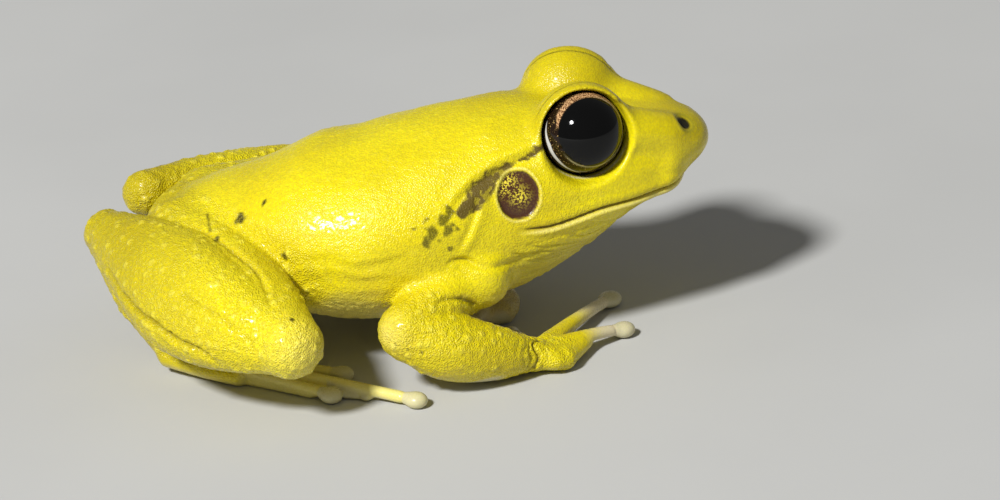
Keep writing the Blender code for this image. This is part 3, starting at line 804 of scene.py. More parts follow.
DRUM_FOLD = ((2.9, 5.95), (1.2, 5.65), (0.0, 5.5), (-1.2, 5.3), (-2.1, 5.0), (-3.0, 4.75),
             (-3.9, 4.3), (-4.8, 3.7), (-6.4, 2.9))
JAW_FOLD = ((-2.2, 3.6), (-2.7, 2.5), (-3.4, 1.4), (-4.2, 0.4), (-5.2, -0.4))
THROAT_FOLD = ((-5.8, -0.2), (-4.7, -0.35), (-3.6, -1.0), (-2.0, -1.5), (-0.5, -1.75), (1.2, -1.55),
               (3.0, -1.5))
moved += fold(DRUM_FOLD, raised=0.26, sunk=0.24, wide=0.4, groove_off=(0.08, -0.5), fade_from=0.5)
moved += fold(JAW_FOLD, raised=0.12, sunk=0.16, wide=0.38, groove_off=(-0.5, -0.1), fade_from=0.7)
moved += fold(THROAT_FOLD, raised=0.05, sunk=0.2, wide=0.32, groove_off=(0.0, -0.3), fade_from=0.6)
print("deepest fold", moved.min().round(2), "mm, highest ridge", moved.max().round(2), "mm")

# %% [markdown]
# ## Wrinkles of the throat and flank
# The throat swells when the frog calls, and lies in fine slanting wrinkles when it rests.
# The flank sags in soft level waves. Both come from noise that is stretched along the way
# they run, and are kept off the arms, whose skin is tighter.

# %% Wrinkles of the throat and flank
WRINKLE_DEPTH = 0.13
SAG_DEPTH = 0.075
SOFT_WAVES = 0.05
throat = (ramp(head[:, 0], -5.5, -3.0) * (1 - ramp(head[:, 0], 6.0, 10.5))
          * ramp(-head[:, 2], 0.5, 1.4) * ramp(beside, 0.5, 3.0) * ramp(bare[:, 2], 3.5, 5.0))
for side in SIDES:
    throat *= ramp(np.linalg.norm(bare - shoulder_muscle(side), axis=1), 2.5, 3.3)
    forearm_bone = np.array([ARM[side]["elbow"], ARM[side]["wrist"]], float)
    throat *= ramp(near_line(bare, forearm_bone, 5.0)[0], 3.2, 4.2)
slanting = head[:, 2] * 1.9 + 0.28 * head[:, 0]
streaks = rough(np.stack([head[:, 0] * 0.42, beside * 0.5, slanting], -1), seed=5)
# The olive that the material lays on these wrinkles is painted shade in their grooves.
masks["shaded_wrinkles"] = throat * np.clip(1 - np.abs(streaks) * 2.2, 0, 1)
moved -= WRINKLE_DEPTH * masks["shaded_wrinkles"]
low_flank = (ramp(bare[:, 0], -11, -7) * (1 - ramp(bare[:, 0], 3.0, 6.5))
             * ramp(np.abs(out[:, 1]), 0.3, 0.7) * bell(bare[:, 2] - 8.2, 2.4))
moved += SAG_DEPTH * low_flank * rough(bare * (0.22, 0.4, 1.1), seed=6)
soft_waves = rough(bare / 2.6, seed=7) * ramp(bare[:, 2], 2.5, 4.5) * (1 - ramp(head[:, 0], 5, 8))
moved += SOFT_WAVES * soft_waves
print("points with wrinkles:", int((masks["shaded_wrinkles"] > 0.1).sum()))

# %% [markdown]
# ## Nostrils
# A nostril is a round pit with a low soft rim, near the tip of the snout, and its pit is
# painted near black as painted shade of the opening. A Boolean could drill it, but pressing the
# skin in keeps one smooth mesh.

# %% Nostrils
NOSTRILS = ((13.25, -1.85, 3.85), (13.25, 2.05, 3.5))
NOSTRIL_SHAPE = (1.3, 1.25, 1.2)
NOSTRIL_DEPTH = 0.42
NOSTRIL_RIM = 0.04
add_masks("nostril", "nostril_rim")
for place in NOSTRILS:
    pit = np.linalg.norm((head - place) / NOSTRIL_SHAPE, axis=1)
    moved += NOSTRIL_RIM * bell(pit - 0.8, 0.2) - NOSTRIL_DEPTH * bell(pit, 0.42)
    # The pit's mask is painted shade of the open nostril.
    masks["nostril"] += 1 - ramp(pit, 0.42, 0.56)
    masks["nostril_rim"] += bell(pit - 0.66, 0.14)
print("nostril points:", int((masks["nostril"] > 0.5).sum()))

# %% [markdown]
# ## Lines of the lids
# The lid's inner edge is painted black where it meets the eye, as painted shade in the gap,
# and the lower lid's margin carries a pale painted highlight of wet skin. A fine dark line runs
# over the top of the lid, where its skin folds as the eye closes, down to a small dark notch at
# the front corner, and both are painted shade.

# %% Lines of the lids
LID_LINE_DEPTH = 0.1
LID_NOTCH_DEPTH = 0.15
add_masks("lid_gap_shade", "lid_highlight", "lid_fold_shade")
for side, sign in SIDES.items():
    off = bare - eye_centre(side)
    from_eye = np.linalg.norm(off, axis=1)
    ahead, high = off @ HEAD_FRONT, off @ HEAD_UP
    outward = off @ (HEAD_LEFT * sign)
    # Painted shade in the gap between the lid and the eye.
    masks["lid_gap_shade"] += (1 - ramp(from_eye, 3.17, 3.3)) * (outward > 0.0)
    # Painted highlight of wet skin along the lower lid.
    masks["lid_highlight"] += bell(from_eye - 3.37, 0.07) * ramp(-high, 0.9, 2.4) * (outward > 0.0)
    ahead_axis = off @ eye_axis(side)
    ring = (bell(ahead_axis - 0.05, 0.07) * ramp(high + 0.4 * ahead, 0.2, 1.4)
            * (1 - ramp(from_eye, 4.0, 4.4)))
    moved -= LID_LINE_DEPTH * ring
    corner = bell(np.hypot(ahead - 3.15, high - 1.8), 0.26) * bell(outward - 0.4, 0.5)
    moved -= LID_NOTCH_DEPTH * corner
    # Painted shade in the lid's fold and in the notch at its corner.
    masks["lid_fold_shade"] += np.maximum(ring, corner)
print("points on lid lines:", int((masks["lid_fold_shade"] > 0.3).sum()))

# %% [markdown]
# ## Creases
# Skin folds sharply where a limb bends, and softly along the flank. A crease is a line of
# places on the right side, with a depth and a width, pressed in on both sides. It fades at
# its ends, and painted shade darkens its bottom, the more the deeper it is.

# %% Creases
# What the crease lies on, its places, its depth and its width.
CREASES = (
    ("trunk", ((-5.2, -11.0, 9.9), (-2.0, -11.7, 10.1), (0.1, -12.0, 9.7), (2.3, -11.9, 10.0),
               (4.6, -11.6, 10.4)), 0.12, 0.42),
    ("trunk", ((-4.6, -11.2, 8.8), (-1.6, -11.9, 8.9), (0.9, -12.0, 8.5), (3.0, -11.9, 8.9)),
     0.08, 0.36),
    ("arm", ((5.3, -13.2, 6.9), (5.9, -12.9, 7.2), (6.6, -12.4, 7.1), (7.5, -11.8, 6.7),
             (8.2, -11.0, 5.8), (8.6, -10.6, 5.2)), 0.34, 0.2),
    ("arm", ((6.0, -11.2, 9.1), (7.46, -10.65, 9.4), (8.57, -10.3, 8.9), (9.8, -9.9, 8.4),
             (10.6, -9.5, 7.7)), 0.2, 0.22),
    ("leg", ((-13.1, -14.2, 9.6), (-10.7, -16.7, 9.1), (-8.9, -18.2, 8.4), (-7.4, -19.4, 7.2),
             (-7.3, -19.3, 5.8)), 0.2, 0.2),
    ("leg", ((-12.9, -6.2, 11.4), (-10.67, -8.69, 11.27), (-8.8, -11.2, 10.9),
             (-7.25, -13.39, 10.42), (-6.4, -15.6, 10.0), (-6.0, -18.0, 9.2)), 0.3, 0.2),
    ("leg", ((-19.1, -5.63, 8.5), (-16.8, -11.3, 7.33), (-15.28, -13.71, 7.05),
             (-13.11, -16.01, 6.38), (-11.07, -17.49, 5.92), (-9.2, -17.95, 4.77)), 0.42, 0.28),
)
add_masks("crease_shade")
for part, line, depth, width in CREASES:
    for placed in carried(line, part):
        away, along = near_line(bare, curve(placed), 1.2)
        ends = ramp(along, 0.0, 0.2) * (1 - ramp(along, 0.8, 1.0))
        moved -= depth * bell(away + width * 0.5 * wander, width) * ends
        # Painted shade along the bottom of the crease, darker for a deeper crease.
        shade = bell(away + width * 0.2 * wander, width * 0.7) * ends * np.clip(depth * 4.5 - 0.5, 0, 1)
        masks["crease_shade"] = np.maximum(masks["crease_shade"], shade)
print("creases:", len(CREASES), "on each side")

# %% [markdown]
# ## Wrists, fingers and toes
# The wrist wrinkles where the palm turns up from the forearm, and painted shade darkens its
# wrinkles. A disc is set off from its finger by a small notch, and the skin there is pale and
# smooth, because it has to grip.

# %% Wrists, fingers and toes
# How far beyond the wrist, and how deep.
WRIST_LINES = ((-1.5, 0.06), (-1.0, 0.1), (-0.5, 0.2), (0.2, 0.05))
DISC_NOTCH = 0.06
DIGITS_A_SIDE = 9
FINGERS_A_SIDE = 4
add_masks("wrist", "pale_finger", "pale_toe", "disc")
for side in SIDES:
    wrist, elbow = np.array(ARM[side]["wrist"]), np.array(ARM[side]["elbow"])
    along_arm = (bare - elbow) @ unit(wrist - elbow) - np.linalg.norm(wrist - elbow)
    close = 1 - ramp(np.linalg.norm(bare - wrist, axis=1), 2.3, 3.1)
    for place, depth in WRIST_LINES:
        wrinkle = bell(along_arm - place + 0.42 * wander, 0.12) * close
        moved -= depth * wrinkle
        # The wrist mask is painted shade in the wrinkles, darker where they are deeper.
        masks["wrist"] += wrinkle * 5 * depth * np.clip(0.75 + ragged, 0.3, 1)
for number, (way, tip, disc, length) in enumerate(tips):
    off = bare - tip
    along_digit = off @ way
    aside = np.linalg.norm(off - along_digit[:, None] * way, axis=1)
    close = 1 - ramp(aside, disc * 1.1, disc * 1.6)
    moved -= DISC_NOTCH * bell(along_digit + disc * 1.3, 0.1) * close
    masks["disc"] = np.maximum(masks["disc"], close * ramp(along_digit, -disc * 1.3, -disc * 1.05))
    finger = number % DIGITS_A_SIDE < FINGERS_A_SIDE
    start, full = (-0.62, -0.25) if finger else (-0.9, -0.45)
    pale = (1 - ramp(aside, disc * 1.1, disc * 1.8)) * ramp(along_digit / length, start, full)
    kind = "pale_finger" if finger else "pale_toe"
    masks[kind] = np.maximum(masks[kind], pale)

skin_points = bare + out * moved[:, None]
skin_points[:, 2] = np.maximum(skin_points[:, 2], 0.0)
print("discs:", len(tips), "fingers and toes")

# %% [markdown]
# ## Granules
# A frog's skin is a field of small domes, each with a gland. Here a dome stands in each
# cell of a lattice, moved off its middle by numbers that are mixed from the cell's own
# place. That gives the same field on every run. Noise alone would look like cloth.

# %% Granules
def scatter(cells, seed):
    """Three numbers in 0 to 1 for each lattice cell, the same on every run."""
    mixed = cells.astype(np.uint64) & np.uint64(0xFFFF)
    key = mixed[..., 0] * np.uint64(73856093) ^ mixed[..., 1] * np.uint64(19349663)
    key = key ^ mixed[..., 2] * np.uint64(83492791) ^ np.uint64(seed * 2654435761)
    found = []
    for turn in range(3):
        key = (key ^ (key >> np.uint64(13))) * np.uint64(1274126177 + 2 * turn)
        key = key & np.uint64(0xFFFFFFFF)
        found.append((key >> np.uint64(8)).astype(float) / 2.0**24)
    return np.stack(found, -1)


def granules(places, size, seed, share=1.0, spread=0.62):
    """Domes on a jittered lattice, in a share of its cells: 1 at a dome's middle."""
    spots = places / size
    base = np.floor(spots).astype(int)
    nearest = np.full(len(spots), FAR)
    for step in np.ndindex(3, 3, 3):
        cell = base + np.array(step) - 1
        found = scatter(cell + 4096, seed)
        away = np.linalg.norm(cell + 0.15 + 0.7 * found - spots, axis=1)
        away[found[:, 2] > share] = FAR
        nearest = np.minimum(nearest, away)
    return np.clip(1 - (nearest / spread) ** 2, 0, 1)


bare = skin_points.copy()
out = normals_of(bare)
fine = granules(bare, size=0.33, seed=1)
cobbles = granules(bare, size=0.62, seed=2)
pimples = granules(bare, size=0.92, seed=4, share=0.5, spread=0.4)
print("share of skin on a pimple:", (pimples > 0.1).mean().round(2))

# %% [markdown]
# ## Regions of the skin
# The kind of grain depends on where it is. The face is finer, the shank and the forearm
# are rough, the underside is cobbled, and eardrums, lips, lids and discs are smooth. The
# inner side of a forearm is pale and bare.

# %% Regions of the skin
ROUGH_LIMBS = ((LEG, "knee", "heel", 6.4), (ARM, "elbow", "wrist", 3.4))
INNER_SIDE = {"right": (0.15, ("elbow", "wrist")), "left": (-0.55, ("elbow", "wrist", "knuckle"))}
ground = 1 - ramp(bare[:, 2], 1.3, 2.3)
calm = 1 - np.clip(masks["drum"] + masks["mouth"] + masks["nostril"] + masks["lid_gap_shade"]
                   + masks["disc"], 0, 1)
face = ramp(head[:, 0], 4.5, 8.5)
limb_skin = np.zeros(len(bare))
for side in SIDES:
    for limbs, start, end, reach in ROUGH_LIMBS:
        bone = np.array([limbs[side][start], limbs[side][end]], float)
        away = near_line(bare, bone, reach + 1)[0]
        limb_skin = np.maximum(limb_skin, 1 - ramp(away, reach - 0.6, reach + 0.4))
below = ramp(-out[:, 2], 0.1, 0.8) * ramp(10.0 - bare[:, 2], 0, 4) * (1 - 0.92 * limb_skin)
add_masks("inner")
for side, sign in SIDES.items():
    turned_from, joints = INNER_SIDE[side]
    away = near_line(bare, np.array([ARM[side][joint] for joint in joints], float), 3.4)[0]
    facing_in = ramp(-out[:, 1] * sign, turned_from, turned_from + 0.4)
    masks["inner"] += ((1 - ramp(away, 2.4, 3.2)) * facing_in
                       * (bare[:, 1] * sign < 14) * (bare[:, 2] < 6.5))
print("rough limb skin:", (limb_skin > 0.5).mean().round(2), "of all, underside:",
      (below > 0.5).mean().round(2))

# %% [markdown]
# ## Grain of the skin
# Each region raises its own mix of granules, cobbles and pimples, by hundredths of a
# millimetre. Grain that the mesh can carry is real shape, and only what is finer than its
# faces is left to a bump in the material, for which a mask of coarseness is kept.

# %% Grain of the skin
FINE_HEIGHT = 0.022
PIMPLE_HEIGHT = 0.11
LIMB_WAVES = 0.022
masks["coarse"] = (0.46 + 0.54 * limb_skin - 0.3 * face - 0.25 * ground * (1 - limb_skin)) * calm
height = FINE_HEIGHT * fine * (1 - 0.5 * face)
height += cobbles * (0.05 * below + 0.03 * limb_skin + 0.012 * (1 - face))
height += pimples * (PIMPLE_HEIGHT * limb_skin + 0.03 * (1 - face) * ramp(bare[:, 2], 12, 14))
height += LIMB_WAVES * rough(bare * (2.6, 1.1, 1.6), seed=9) * limb_skin
height *= calm * (1 - 0.75 * ground)
skin_points = bare + out * height[:, None]
skin_points[:, 2] = np.maximum(skin_points[:, 2], 0.0)
masks["below"] = below
masks["grain"] = fine * calm
masks["pimples"] = pimples * np.maximum(limb_skin, 0.25) * calm
print("grain raised, up to", height.max().round(3), "mm")

# %% [markdown]
# ## The dark stripe
# A brown stripe runs from the eye over the eardrum, under the fold, and ends behind the
# jaw. A painter would draw it with one stroke, and so does this: a line with a half width
# at each of its points, and a ragged edge from the drifting noises.

# %% The dark stripe
STRIPE = ((2.2, 5.45, 0.3), (1.2, 5.2, 0.2), (0.2, 5.02, 0.2), (-1.1, 4.55, 0.5), (-2.3, 3.95, 0.68),
          (-3.3, 3.3, 0.72), (-4.1, 2.8, 0.5))
stripe_line = curve(np.array(STRIPE)[:, :2])
away, along = near_line(flat_head, stripe_line, 2.0)
stripe_wide = np.interp(along, np.linspace(0, 1, len(STRIPE)), np.array(STRIPE)[:, 2])
uneven = wander * 0.16 + ragged * 0.1
masks["stripe"] = (1 - ramp(away + uneven, stripe_wide * 0.8, stripe_wide * 1.1)) * (beside > 4)
print("points in the stripe:", int((masks["stripe"] > 0.5).sum()))

# %% [markdown]
# ## Flecks
# Loose dark flecks lie behind the stripe and on the limbs, with one short dark line on the
# thigh. A fleck on a limb is placed on the right and carried to the left. One on the head
# or the trunk is placed by the head's own directions, on both sides at once.

# %% Flecks
# What the fleck lies on, its place and its size.
FLECKS = (
    ("leg", (-10.5, -8.9, 11.2), 0.28), ("leg", (-8.7, -7.3, 12.0), 0.5),
    ("leg", (-5.4, -10.6, 10.3), 0.34), ("leg", (-4.4, -18.9, 8.9), 0.26),
    ("leg", (-6.9, -7.4, 13.3), 0.24), ("arm", (2.6, -15.2, 5.0), 0.18),
    ("arm", (3.4, -15.5, 4.6), 0.15), ("arm", (4.4, -15.4, 4.3), 0.12),
)
THIGH_LINE = ((-11.3, -5.5, 11.8), (-11.1, -6.8, 11.6), (-10.9, -8.0, 11.4))
# Forward of the jaw corner, outward, above the mouth, and the size.
HEAD_FLECKS = ((-5.6, 8.1, 2.7, 0.42), (-5.4, 8.3, 1.8, 0.36), (-6.4, 8.5, 2.0, 0.5),
               (-5.0, 7.7, 3.2, 0.3), (-5.45, 8.54, 0.5, 0.16), (-18.2, 0.1, 5.1, 0.13),
               (-18.1, 3.2, 4.5, 0.12), (-7.0, 8.7, 1.5, 0.3))
add_masks("flecks")
for part, place, size in FLECKS:
    for spot in carried([place], part):
        gap = np.linalg.norm(bare - spot[0], axis=1) * (1 + 0.4 * ragged)
        masks["flecks"] = np.maximum(masks["flecks"], 1 - ramp(gap, size * 0.5, size * 1.2))
for line in carried(THIGH_LINE, "leg"):
    away = near_line(bare, curve(line), 1.0)[0]
    masks["flecks"] = np.maximum(masks["flecks"], 0.8 * bell(away + 0.03 * ragged, 0.1))
for front, outward, up, size in HEAD_FLECKS:
    off = np.stack([head[:, 0], beside, head[:, 2]], -1) - (front, outward, up)
    gap = np.linalg.norm(off, axis=1)
    gap = gap * (1 + 0.6 * ragged) + 0.2 * wander
    masks["flecks"] = np.maximum(masks["flecks"], 0.85 * (1 - ramp(gap, size * 0.7, size * 1.5)))
print("flecks:", 2 * (len(FLECKS) + len(HEAD_FLECKS)))

# %% [markdown]
# ## Pale and deep regions
# The throat is darkened to a duller yellow, which is painted shade under the head. The snout,
# the top of the head and the rump are deeper than the flank, partly in the skin's own colour
# and partly as painted shade where the light falls off. The skin is stretched thin and pale
# where it caps the knee and the elbow.
# These regions have no edge, so each is a slow ramp or a wide bell.

# %% Pale and deep regions
# Painted shade under the throat.
masks["throat"] = throat * ramp(-head[:, 2], 1.5, 2.8)
# Deeper snout, head top and rump: partly the skin's own colour, partly painted shade.
masks["deep_and_shade"] = np.clip(
    0.75 * ramp(head[:, 0], 6.5, 13.5) * ramp(head[:, 2], 0.5, 3.5)
    + 0.6 * ramp(head[:, 0], -6.0, 3.0) * ramp(head[:, 2], 5.0, 7.0)
    + 0.9 * ramp(-bare[:, 0], 9.0, 18.0) + 0.25 * rough(bare / 5.0, seed=12), 0, 1)
add_masks("caps")
for side in SIDES:
    knee, elbow = np.array(LEG[side]["knee"]), np.array(ARM[side]["elbow"])
    away_from_body = unit(knee - np.array(LEG[side]["heel"]))
    masks["caps"] += bell(np.linalg.norm(bare - knee - away_from_body * 1.6, axis=1), 2.0)
    masks["caps"] += bell(np.linalg.norm(bare - elbow - (-1.2, SIDES[side] * 1.4, 0.4), axis=1), 1.3)
print("masks:", ", ".join(masks))

# %% [markdown]
# ## The skin as a Blender mesh
# The points become a mesh in metres, in the solid frog's frame, and the masks become
# attributes that its material can read. It stands for every solid of flesh.

# %% The skin as a Blender mesh
def dressed(name, points, faces, marks):
    """A smooth mesh object in metres that carries its masks as attributes."""
    mesh = bpy.data.meshes.new(name)
    mesh.from_pydata((points + CENTRE_SHIFT) * MM, [], faces)
    mesh.shade_smooth()
    for mark, values in marks.items():
        layer = mesh.attributes.new(mark, "FLOAT", "POINT")
        layer.data.foreach_set("value", np.clip(values, 0, 1).astype(np.float32))
    made = bpy.data.objects.new(name, mesh)
    bpy.context.scene.collection.objects.link(made)
    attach(made, "root")
    return made


skin = dressed("skin", skin_points, skin_faces, masks)
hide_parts(*[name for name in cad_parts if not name.startswith("eye_")])
print("skin mesh:", len(skin.data.vertices), "points")

# %% [markdown]
# ## Helpers for materials
# A material is a chain of mixes: a base colour, and over it one colour for each mask. The
# helpers build such a chain from a table, so that every material below reads as a list of
# what lies over what.

# %% Helpers for materials
def new_material(name):
    """A material, its tree and its shader."""
    material = bpy.data.materials.new(name)
    material.use_nodes = True
    return material, material.node_tree, material.node_tree.nodes["Principled BSDF"]


def plug(tree, value, socket):
    """Links an output to a socket, or sets a plain value on it."""
    if isinstance(value, bpy.types.NodeSocket):
        tree.links.new(value, socket)
    elif isinstance(value, tuple):
        socket.default_value = (*value, 1)
    else:
        socket.default_value = value


def laid_over(tree, below, colour, share):
    """One colour mixed over another by a share."""
    node = tree.nodes.new("ShaderNodeMix")
    node.data_type = "RGBA"
    plug(tree, below, node.inputs["A"])
    plug(tree, colour, node.inputs["B"])
    plug(tree, share, node.inputs["Factor"])
    return node.outputs["Result"]


def reckon(tree, kind, first, second=0.0, third=0.0):
    """A Math node."""
    node = tree.nodes.new("ShaderNodeMath")
    node.operation = kind
    for socket, value in zip(node.inputs, (first, second, third)):
        plug(tree, value, socket)
    return node.outputs["Value"]


def stretched(tree, value, low, high, new_low=0.0, new_high=1.0):
    """A value taken from one range to another, with soft ends."""
    node = tree.nodes.new("ShaderNodeMapRange")
    node.interpolation_type = "SMOOTHSTEP"
    for socket, number in zip(node.inputs, (value, low, high, new_low, new_high)):
        plug(tree, number, socket)
    return node.outputs["Result"]


def mask(tree, name, strength=1.0):
    """A mask of the mesh, as an output."""
    node = tree.nodes.new("ShaderNodeAttribute")
    node.attribute_name = name
    return reckon(tree, "MULTIPLY", node.outputs["Fac"], strength)


def with_regions(tree, colour, regions):
    """A colour with others over it, one for each mask, in the order of the table."""
    for name, over, share in regions:
        colour = laid_over(tree, colour, over, mask(tree, name, share))
    return colour


def set_inputs(node, values):
    """Sets plain values on a node's own sockets."""
    for name, value in values.items():
        node.inputs[name].default_value = value


print("material helpers ready")

# %% [markdown]
# ## Speckle as a node group
# The skin and the iris both shimmer with tiny grains of pigment. The group takes a grain
# size in millimetres and gives a speckle mask, a slow drift mask and a height.

# %% Speckle as a node group
def new_speckle_group():
    """The node group, with its named sockets."""
    group = bpy.data.node_groups.new("pigment_speckle", "ShaderNodeTree")
    for name, kind, start in (("Grain mm", "NodeSocketFloat", 0.2), ("Drift mm", "NodeSocketFloat", 4.0),
                              ("Cover", "NodeSocketFloat", 0.5)):
        socket = group.interface.new_socket(name=name, in_out="INPUT", socket_type=kind)
        socket.default_value = start
    for name in ("Speckle", "Drift", "Height"):
        group.interface.new_socket(name=name, in_out="OUTPUT", socket_type="NodeSocketFloat")
    entry = group.nodes.new("NodeGroupInput")
    result = group.nodes.new("NodeGroupOutput")
    where = group.nodes.new("ShaderNodeTexCoord")
    grain_scale = reckon(group, "DIVIDE", 1000.0, entry.outputs["Grain mm"])
    drift_scale = reckon(group, "DIVIDE", 1000.0, entry.outputs["Drift mm"])
    dots = group.nodes.new("ShaderNodeTexVoronoi")
    dots.feature = "F1"
    grain_noise = group.nodes.new("ShaderNodeTexNoise")
    drift_noise = group.nodes.new("ShaderNodeTexNoise")
    for node, scale in ((dots, grain_scale), (grain_noise, grain_scale), (drift_noise, drift_scale)):
        group.links.new(where.outputs["Object"], node.inputs["Vector"])
        group.links.new(scale, node.inputs["Scale"])
    grain_noise.inputs["Detail"].default_value = 3.0
    drift_noise.inputs["Detail"].default_value = 4.0
    edge_low = reckon(group, "MULTIPLY_ADD", entry.outputs["Cover"], -0.24, 0.58)
    edge_high = reckon(group, "ADD", edge_low, 0.09)
    for output, value, low, high, ends in (
            ("Speckle", grain_noise.outputs["Fac"], edge_low, edge_high, (0.0, 1.0)),
            ("Drift", drift_noise.outputs["Fac"], 0.36, 0.64, (0.0, 1.0)),
            ("Height", dots.outputs["Distance"], 0.0, 0.75, (1.0, 0.0))):
        group.links.new(stretched(group, value, low, high, *ends), result.inputs[output])
    return group


speckle_group = new_speckle_group()


def speckle(tree, grain, drift, cover):
    """The outputs of one speckle, with its grain and drift in millimetres."""
    node = tree.nodes.new("ShaderNodeGroup")
    node.node_tree = speckle_group
    for name, value in (("Grain mm", grain), ("Drift mm", drift), ("Cover", cover)):
        node.inputs[name].default_value = value
    return node.outputs


print("node group:", speckle_group.name)

# %% [markdown]
# ## Colours of the skin
# The base is bright lemon yellow, more golden where pigment drifts, and darker between the
# granules, where the olive is painted shade in their gaps. Over it lie the regions, from the
# widest to the narrowest: pale belly and digits, painted shade in the creases, the stripe and
# the flecks, and last the eardrum, the mouth, the nostrils and the lids. Colours are linear,
# as the shader takes them.

# %% Colours of the skin
LEMON = (0.90, 0.755, 0.004)
LIGHT_LEMON = (0.95, 0.86, 0.008)
GOLDEN = (0.74, 0.58, 0.004)
DEEP_GOLD = (0.46, 0.355, 0.002)
OLIVE = (0.36, 0.29, 0.012)
STRIPE_BROWN = (0.10, 0.064, 0.006)
FLECK_BROWN = (0.045, 0.036, 0.005)
DRUM_GOLD = (0.88, 0.72, 0.06)
WIDE_REGIONS = (
    ("pimples", (0.94, 0.84, 0.10), 0.35), ("caps", (0.88, 0.74, 0.20), 0.45),
    ("inner", (0.72, 0.60, 0.30), 0.8), ("below", (0.66, 0.58, 0.20), 0.6),
    # The throat's duller yellow is painted shade, and the olive of its wrinkles is painted shade in their
    # grooves.
    ("throat", (0.54, 0.46, 0.03), 0.6), ("shaded_wrinkles", OLIVE, 0.3),
    ("pale_finger", (0.70, 0.62, 0.42), 0.92), ("pale_toe", (0.78, 0.70, 0.24), 0.85),
    # The dark of the wrist is painted shade in its wrinkles.
    ("disc", (0.60, 0.56, 0.34), 0.85), ("wrist", (0.10, 0.065, 0.008), 0.85),
    # The dark of the creases is painted shade.
    ("crease_shade", (0.14, 0.095, 0.006), 0.6),
)
DRUM_REGIONS = (("drum", (0.06, 0.016, 0.012), 0.98), ("drum_rim", (0.85, 0.74, 0.16), 0.95))
FACE_REGIONS = (
    ("mouth", (0.085, 0.026, 0.010), 0.95), ("lip", (0.90, 0.82, 0.36), 0.5),
    # The nostril's near black is painted shade of its opening.
    ("nostril_rim", (0.16, 0.16, 0.02), 0.6), ("nostril", (0.014, 0.012, 0.005), 1.0),
    # The lids' dark line and black edge are painted shade, and their pale margin a painted highlight.
    ("lid_fold_shade", (0.06, 0.05, 0.008), 0.95), ("lid_highlight", (0.86, 0.80, 0.50), 0.75),
    ("lid_gap_shade", (0.012, 0.009, 0.006), 1.0),
)
skin_material, tree, shader = new_material("frog_skin")
grains = speckle(tree, grain=0.14, drift=3.0, cover=0.4)
broad = speckle(tree, grain=0.7, drift=6.0, cover=0.3)
drum_dots = speckle(tree, grain=0.15, drift=1.0, cover=0.42)
colour = laid_over(tree, LEMON, GOLDEN, reckon(tree, "MULTIPLY", broad["Drift"], 0.7))
colour = laid_over(tree, colour, LIGHT_LEMON, reckon(tree, "MULTIPLY", grains["Drift"], 0.3))
# DEEP_GOLD over this mask is partly the skin's own colour and partly painted shade.
colour = laid_over(tree, colour, DEEP_GOLD, mask(tree, "deep_and_shade", 0.75))
# Olive between the granules is painted shade in their gaps; olive on the speckle is the skin's own
# pigment.
between = reckon(tree, "SUBTRACT", 1.0, mask(tree, "grain"))
for dark_part in (between, grains["Speckle"]):
    colour = laid_over(tree, colour, OLIVE, reckon(tree, "MULTIPLY", dark_part, 0.22))
colour = with_regions(tree, colour, WIDE_REGIONS)
for name, over, spots, thinnest in (("stripe", STRIPE_BROWN, broad, 0.72),
                                    ("flecks", FLECK_BROWN, grains, 0.75)):
    worn = stretched(tree, spots["Speckle"], 0.0, 1.0, 1.0, thinnest)
    colour = laid_over(tree, colour, over, reckon(tree, "MULTIPLY", mask(tree, name, 0.97), worn))
colour = with_regions(tree, colour, DRUM_REGIONS)
drum_gold = reckon(tree, "MULTIPLY", mask(tree, "drum_grains"), drum_dots["Speckle"])
colour = laid_over(tree, colour, DRUM_GOLD, drum_gold)
colour = with_regions(tree, colour, FACE_REGIONS)
tree.links.new(colour, shader.inputs["Base Color"])
print("skin colours:", len(WIDE_REGIONS) + len(DRUM_REGIONS) + len(FACE_REGIONS), "regions")

# %% [markdown]
# ## Shine of the skin
# Frog skin is wet, so it shines, with a thin clear coat for the slime. The shine breaks up
# into sparkles on a bump too fine for the mesh, and it is duller on the stripe and on the
# belly. A little light goes into the skin and comes out again beside where it went in.

# %% Shine of the skin
BUMP_HEIGHT = 0.06
LIGHT_REACH = 0.4
wetness = stretched(tree, grains["Speckle"], 0.0, 1.0, 0.25, 0.39)
dull = reckon(tree, "MAXIMUM", mask(tree, "stripe", 0.35), mask(tree, "below", 0.15))
tree.links.new(reckon(tree, "ADD", wetness, dull), shader.inputs["Roughness"])
bump = tree.nodes.new("ShaderNodeBump")
set_inputs(bump, {"Distance": BUMP_HEIGHT * MM, "Strength": 1.0})
tree.links.new(reckon(tree, "MULTIPLY", grains["Height"], mask(tree, "coarse")), bump.inputs["Height"])
tree.links.new(bump.outputs["Normal"], shader.inputs["Normal"])
set_inputs(shader, {"Specular IOR Level": 0.32, "Coat Weight": 0.14, "Coat Roughness": 0.12,
                    "Subsurface Weight": 0.08, "Subsurface Radius": (1.0, 0.6, 0.1),
                    "Subsurface Scale": LIGHT_REACH * MM})
skin.data.materials.append(skin_material)
print("skin material has", len(tree.nodes), "nodes")

# %% [markdown]
# ## Marks of the eye
# The pupil has opened wide in the dark, so that only a crescent of coppery iris shows
# above and behind it, and a fine pale ring in front and below. A white crescent lies at
# the back, where the eye turns under its lid. They are read from two angles: how far a
# point is from the way the frog looks, and how far round the eye it is, from the front
# and over the top. A painted picture would have to be unwrapped round the ball instead.

# %% Marks of the eye
PUPIL_ANGLE = 55.0
SOCKET_FACING = (0.09, 0.95, 0.30)
RING_AT = 320
# How far round the eye in degrees, and how wide the copper is there.
COPPER_WIDE = ((5, 2), (25, 8), (45, 13), (65, 15), (85, 13), (110, 11), (130, 9.5), (143, 6),
               (155, 0), (163, -4), (305, -4), (335, -3))
# How far round the eye, how far from the socket's axis, and half the width, in degrees.
WHITE_BAND = ((148, 69, 0.0), (168, 67, 1.8), (186, 64, 4.0), (215, 65, 3.4), (238, 69, 1.6),
              (256, 74, 0.0))


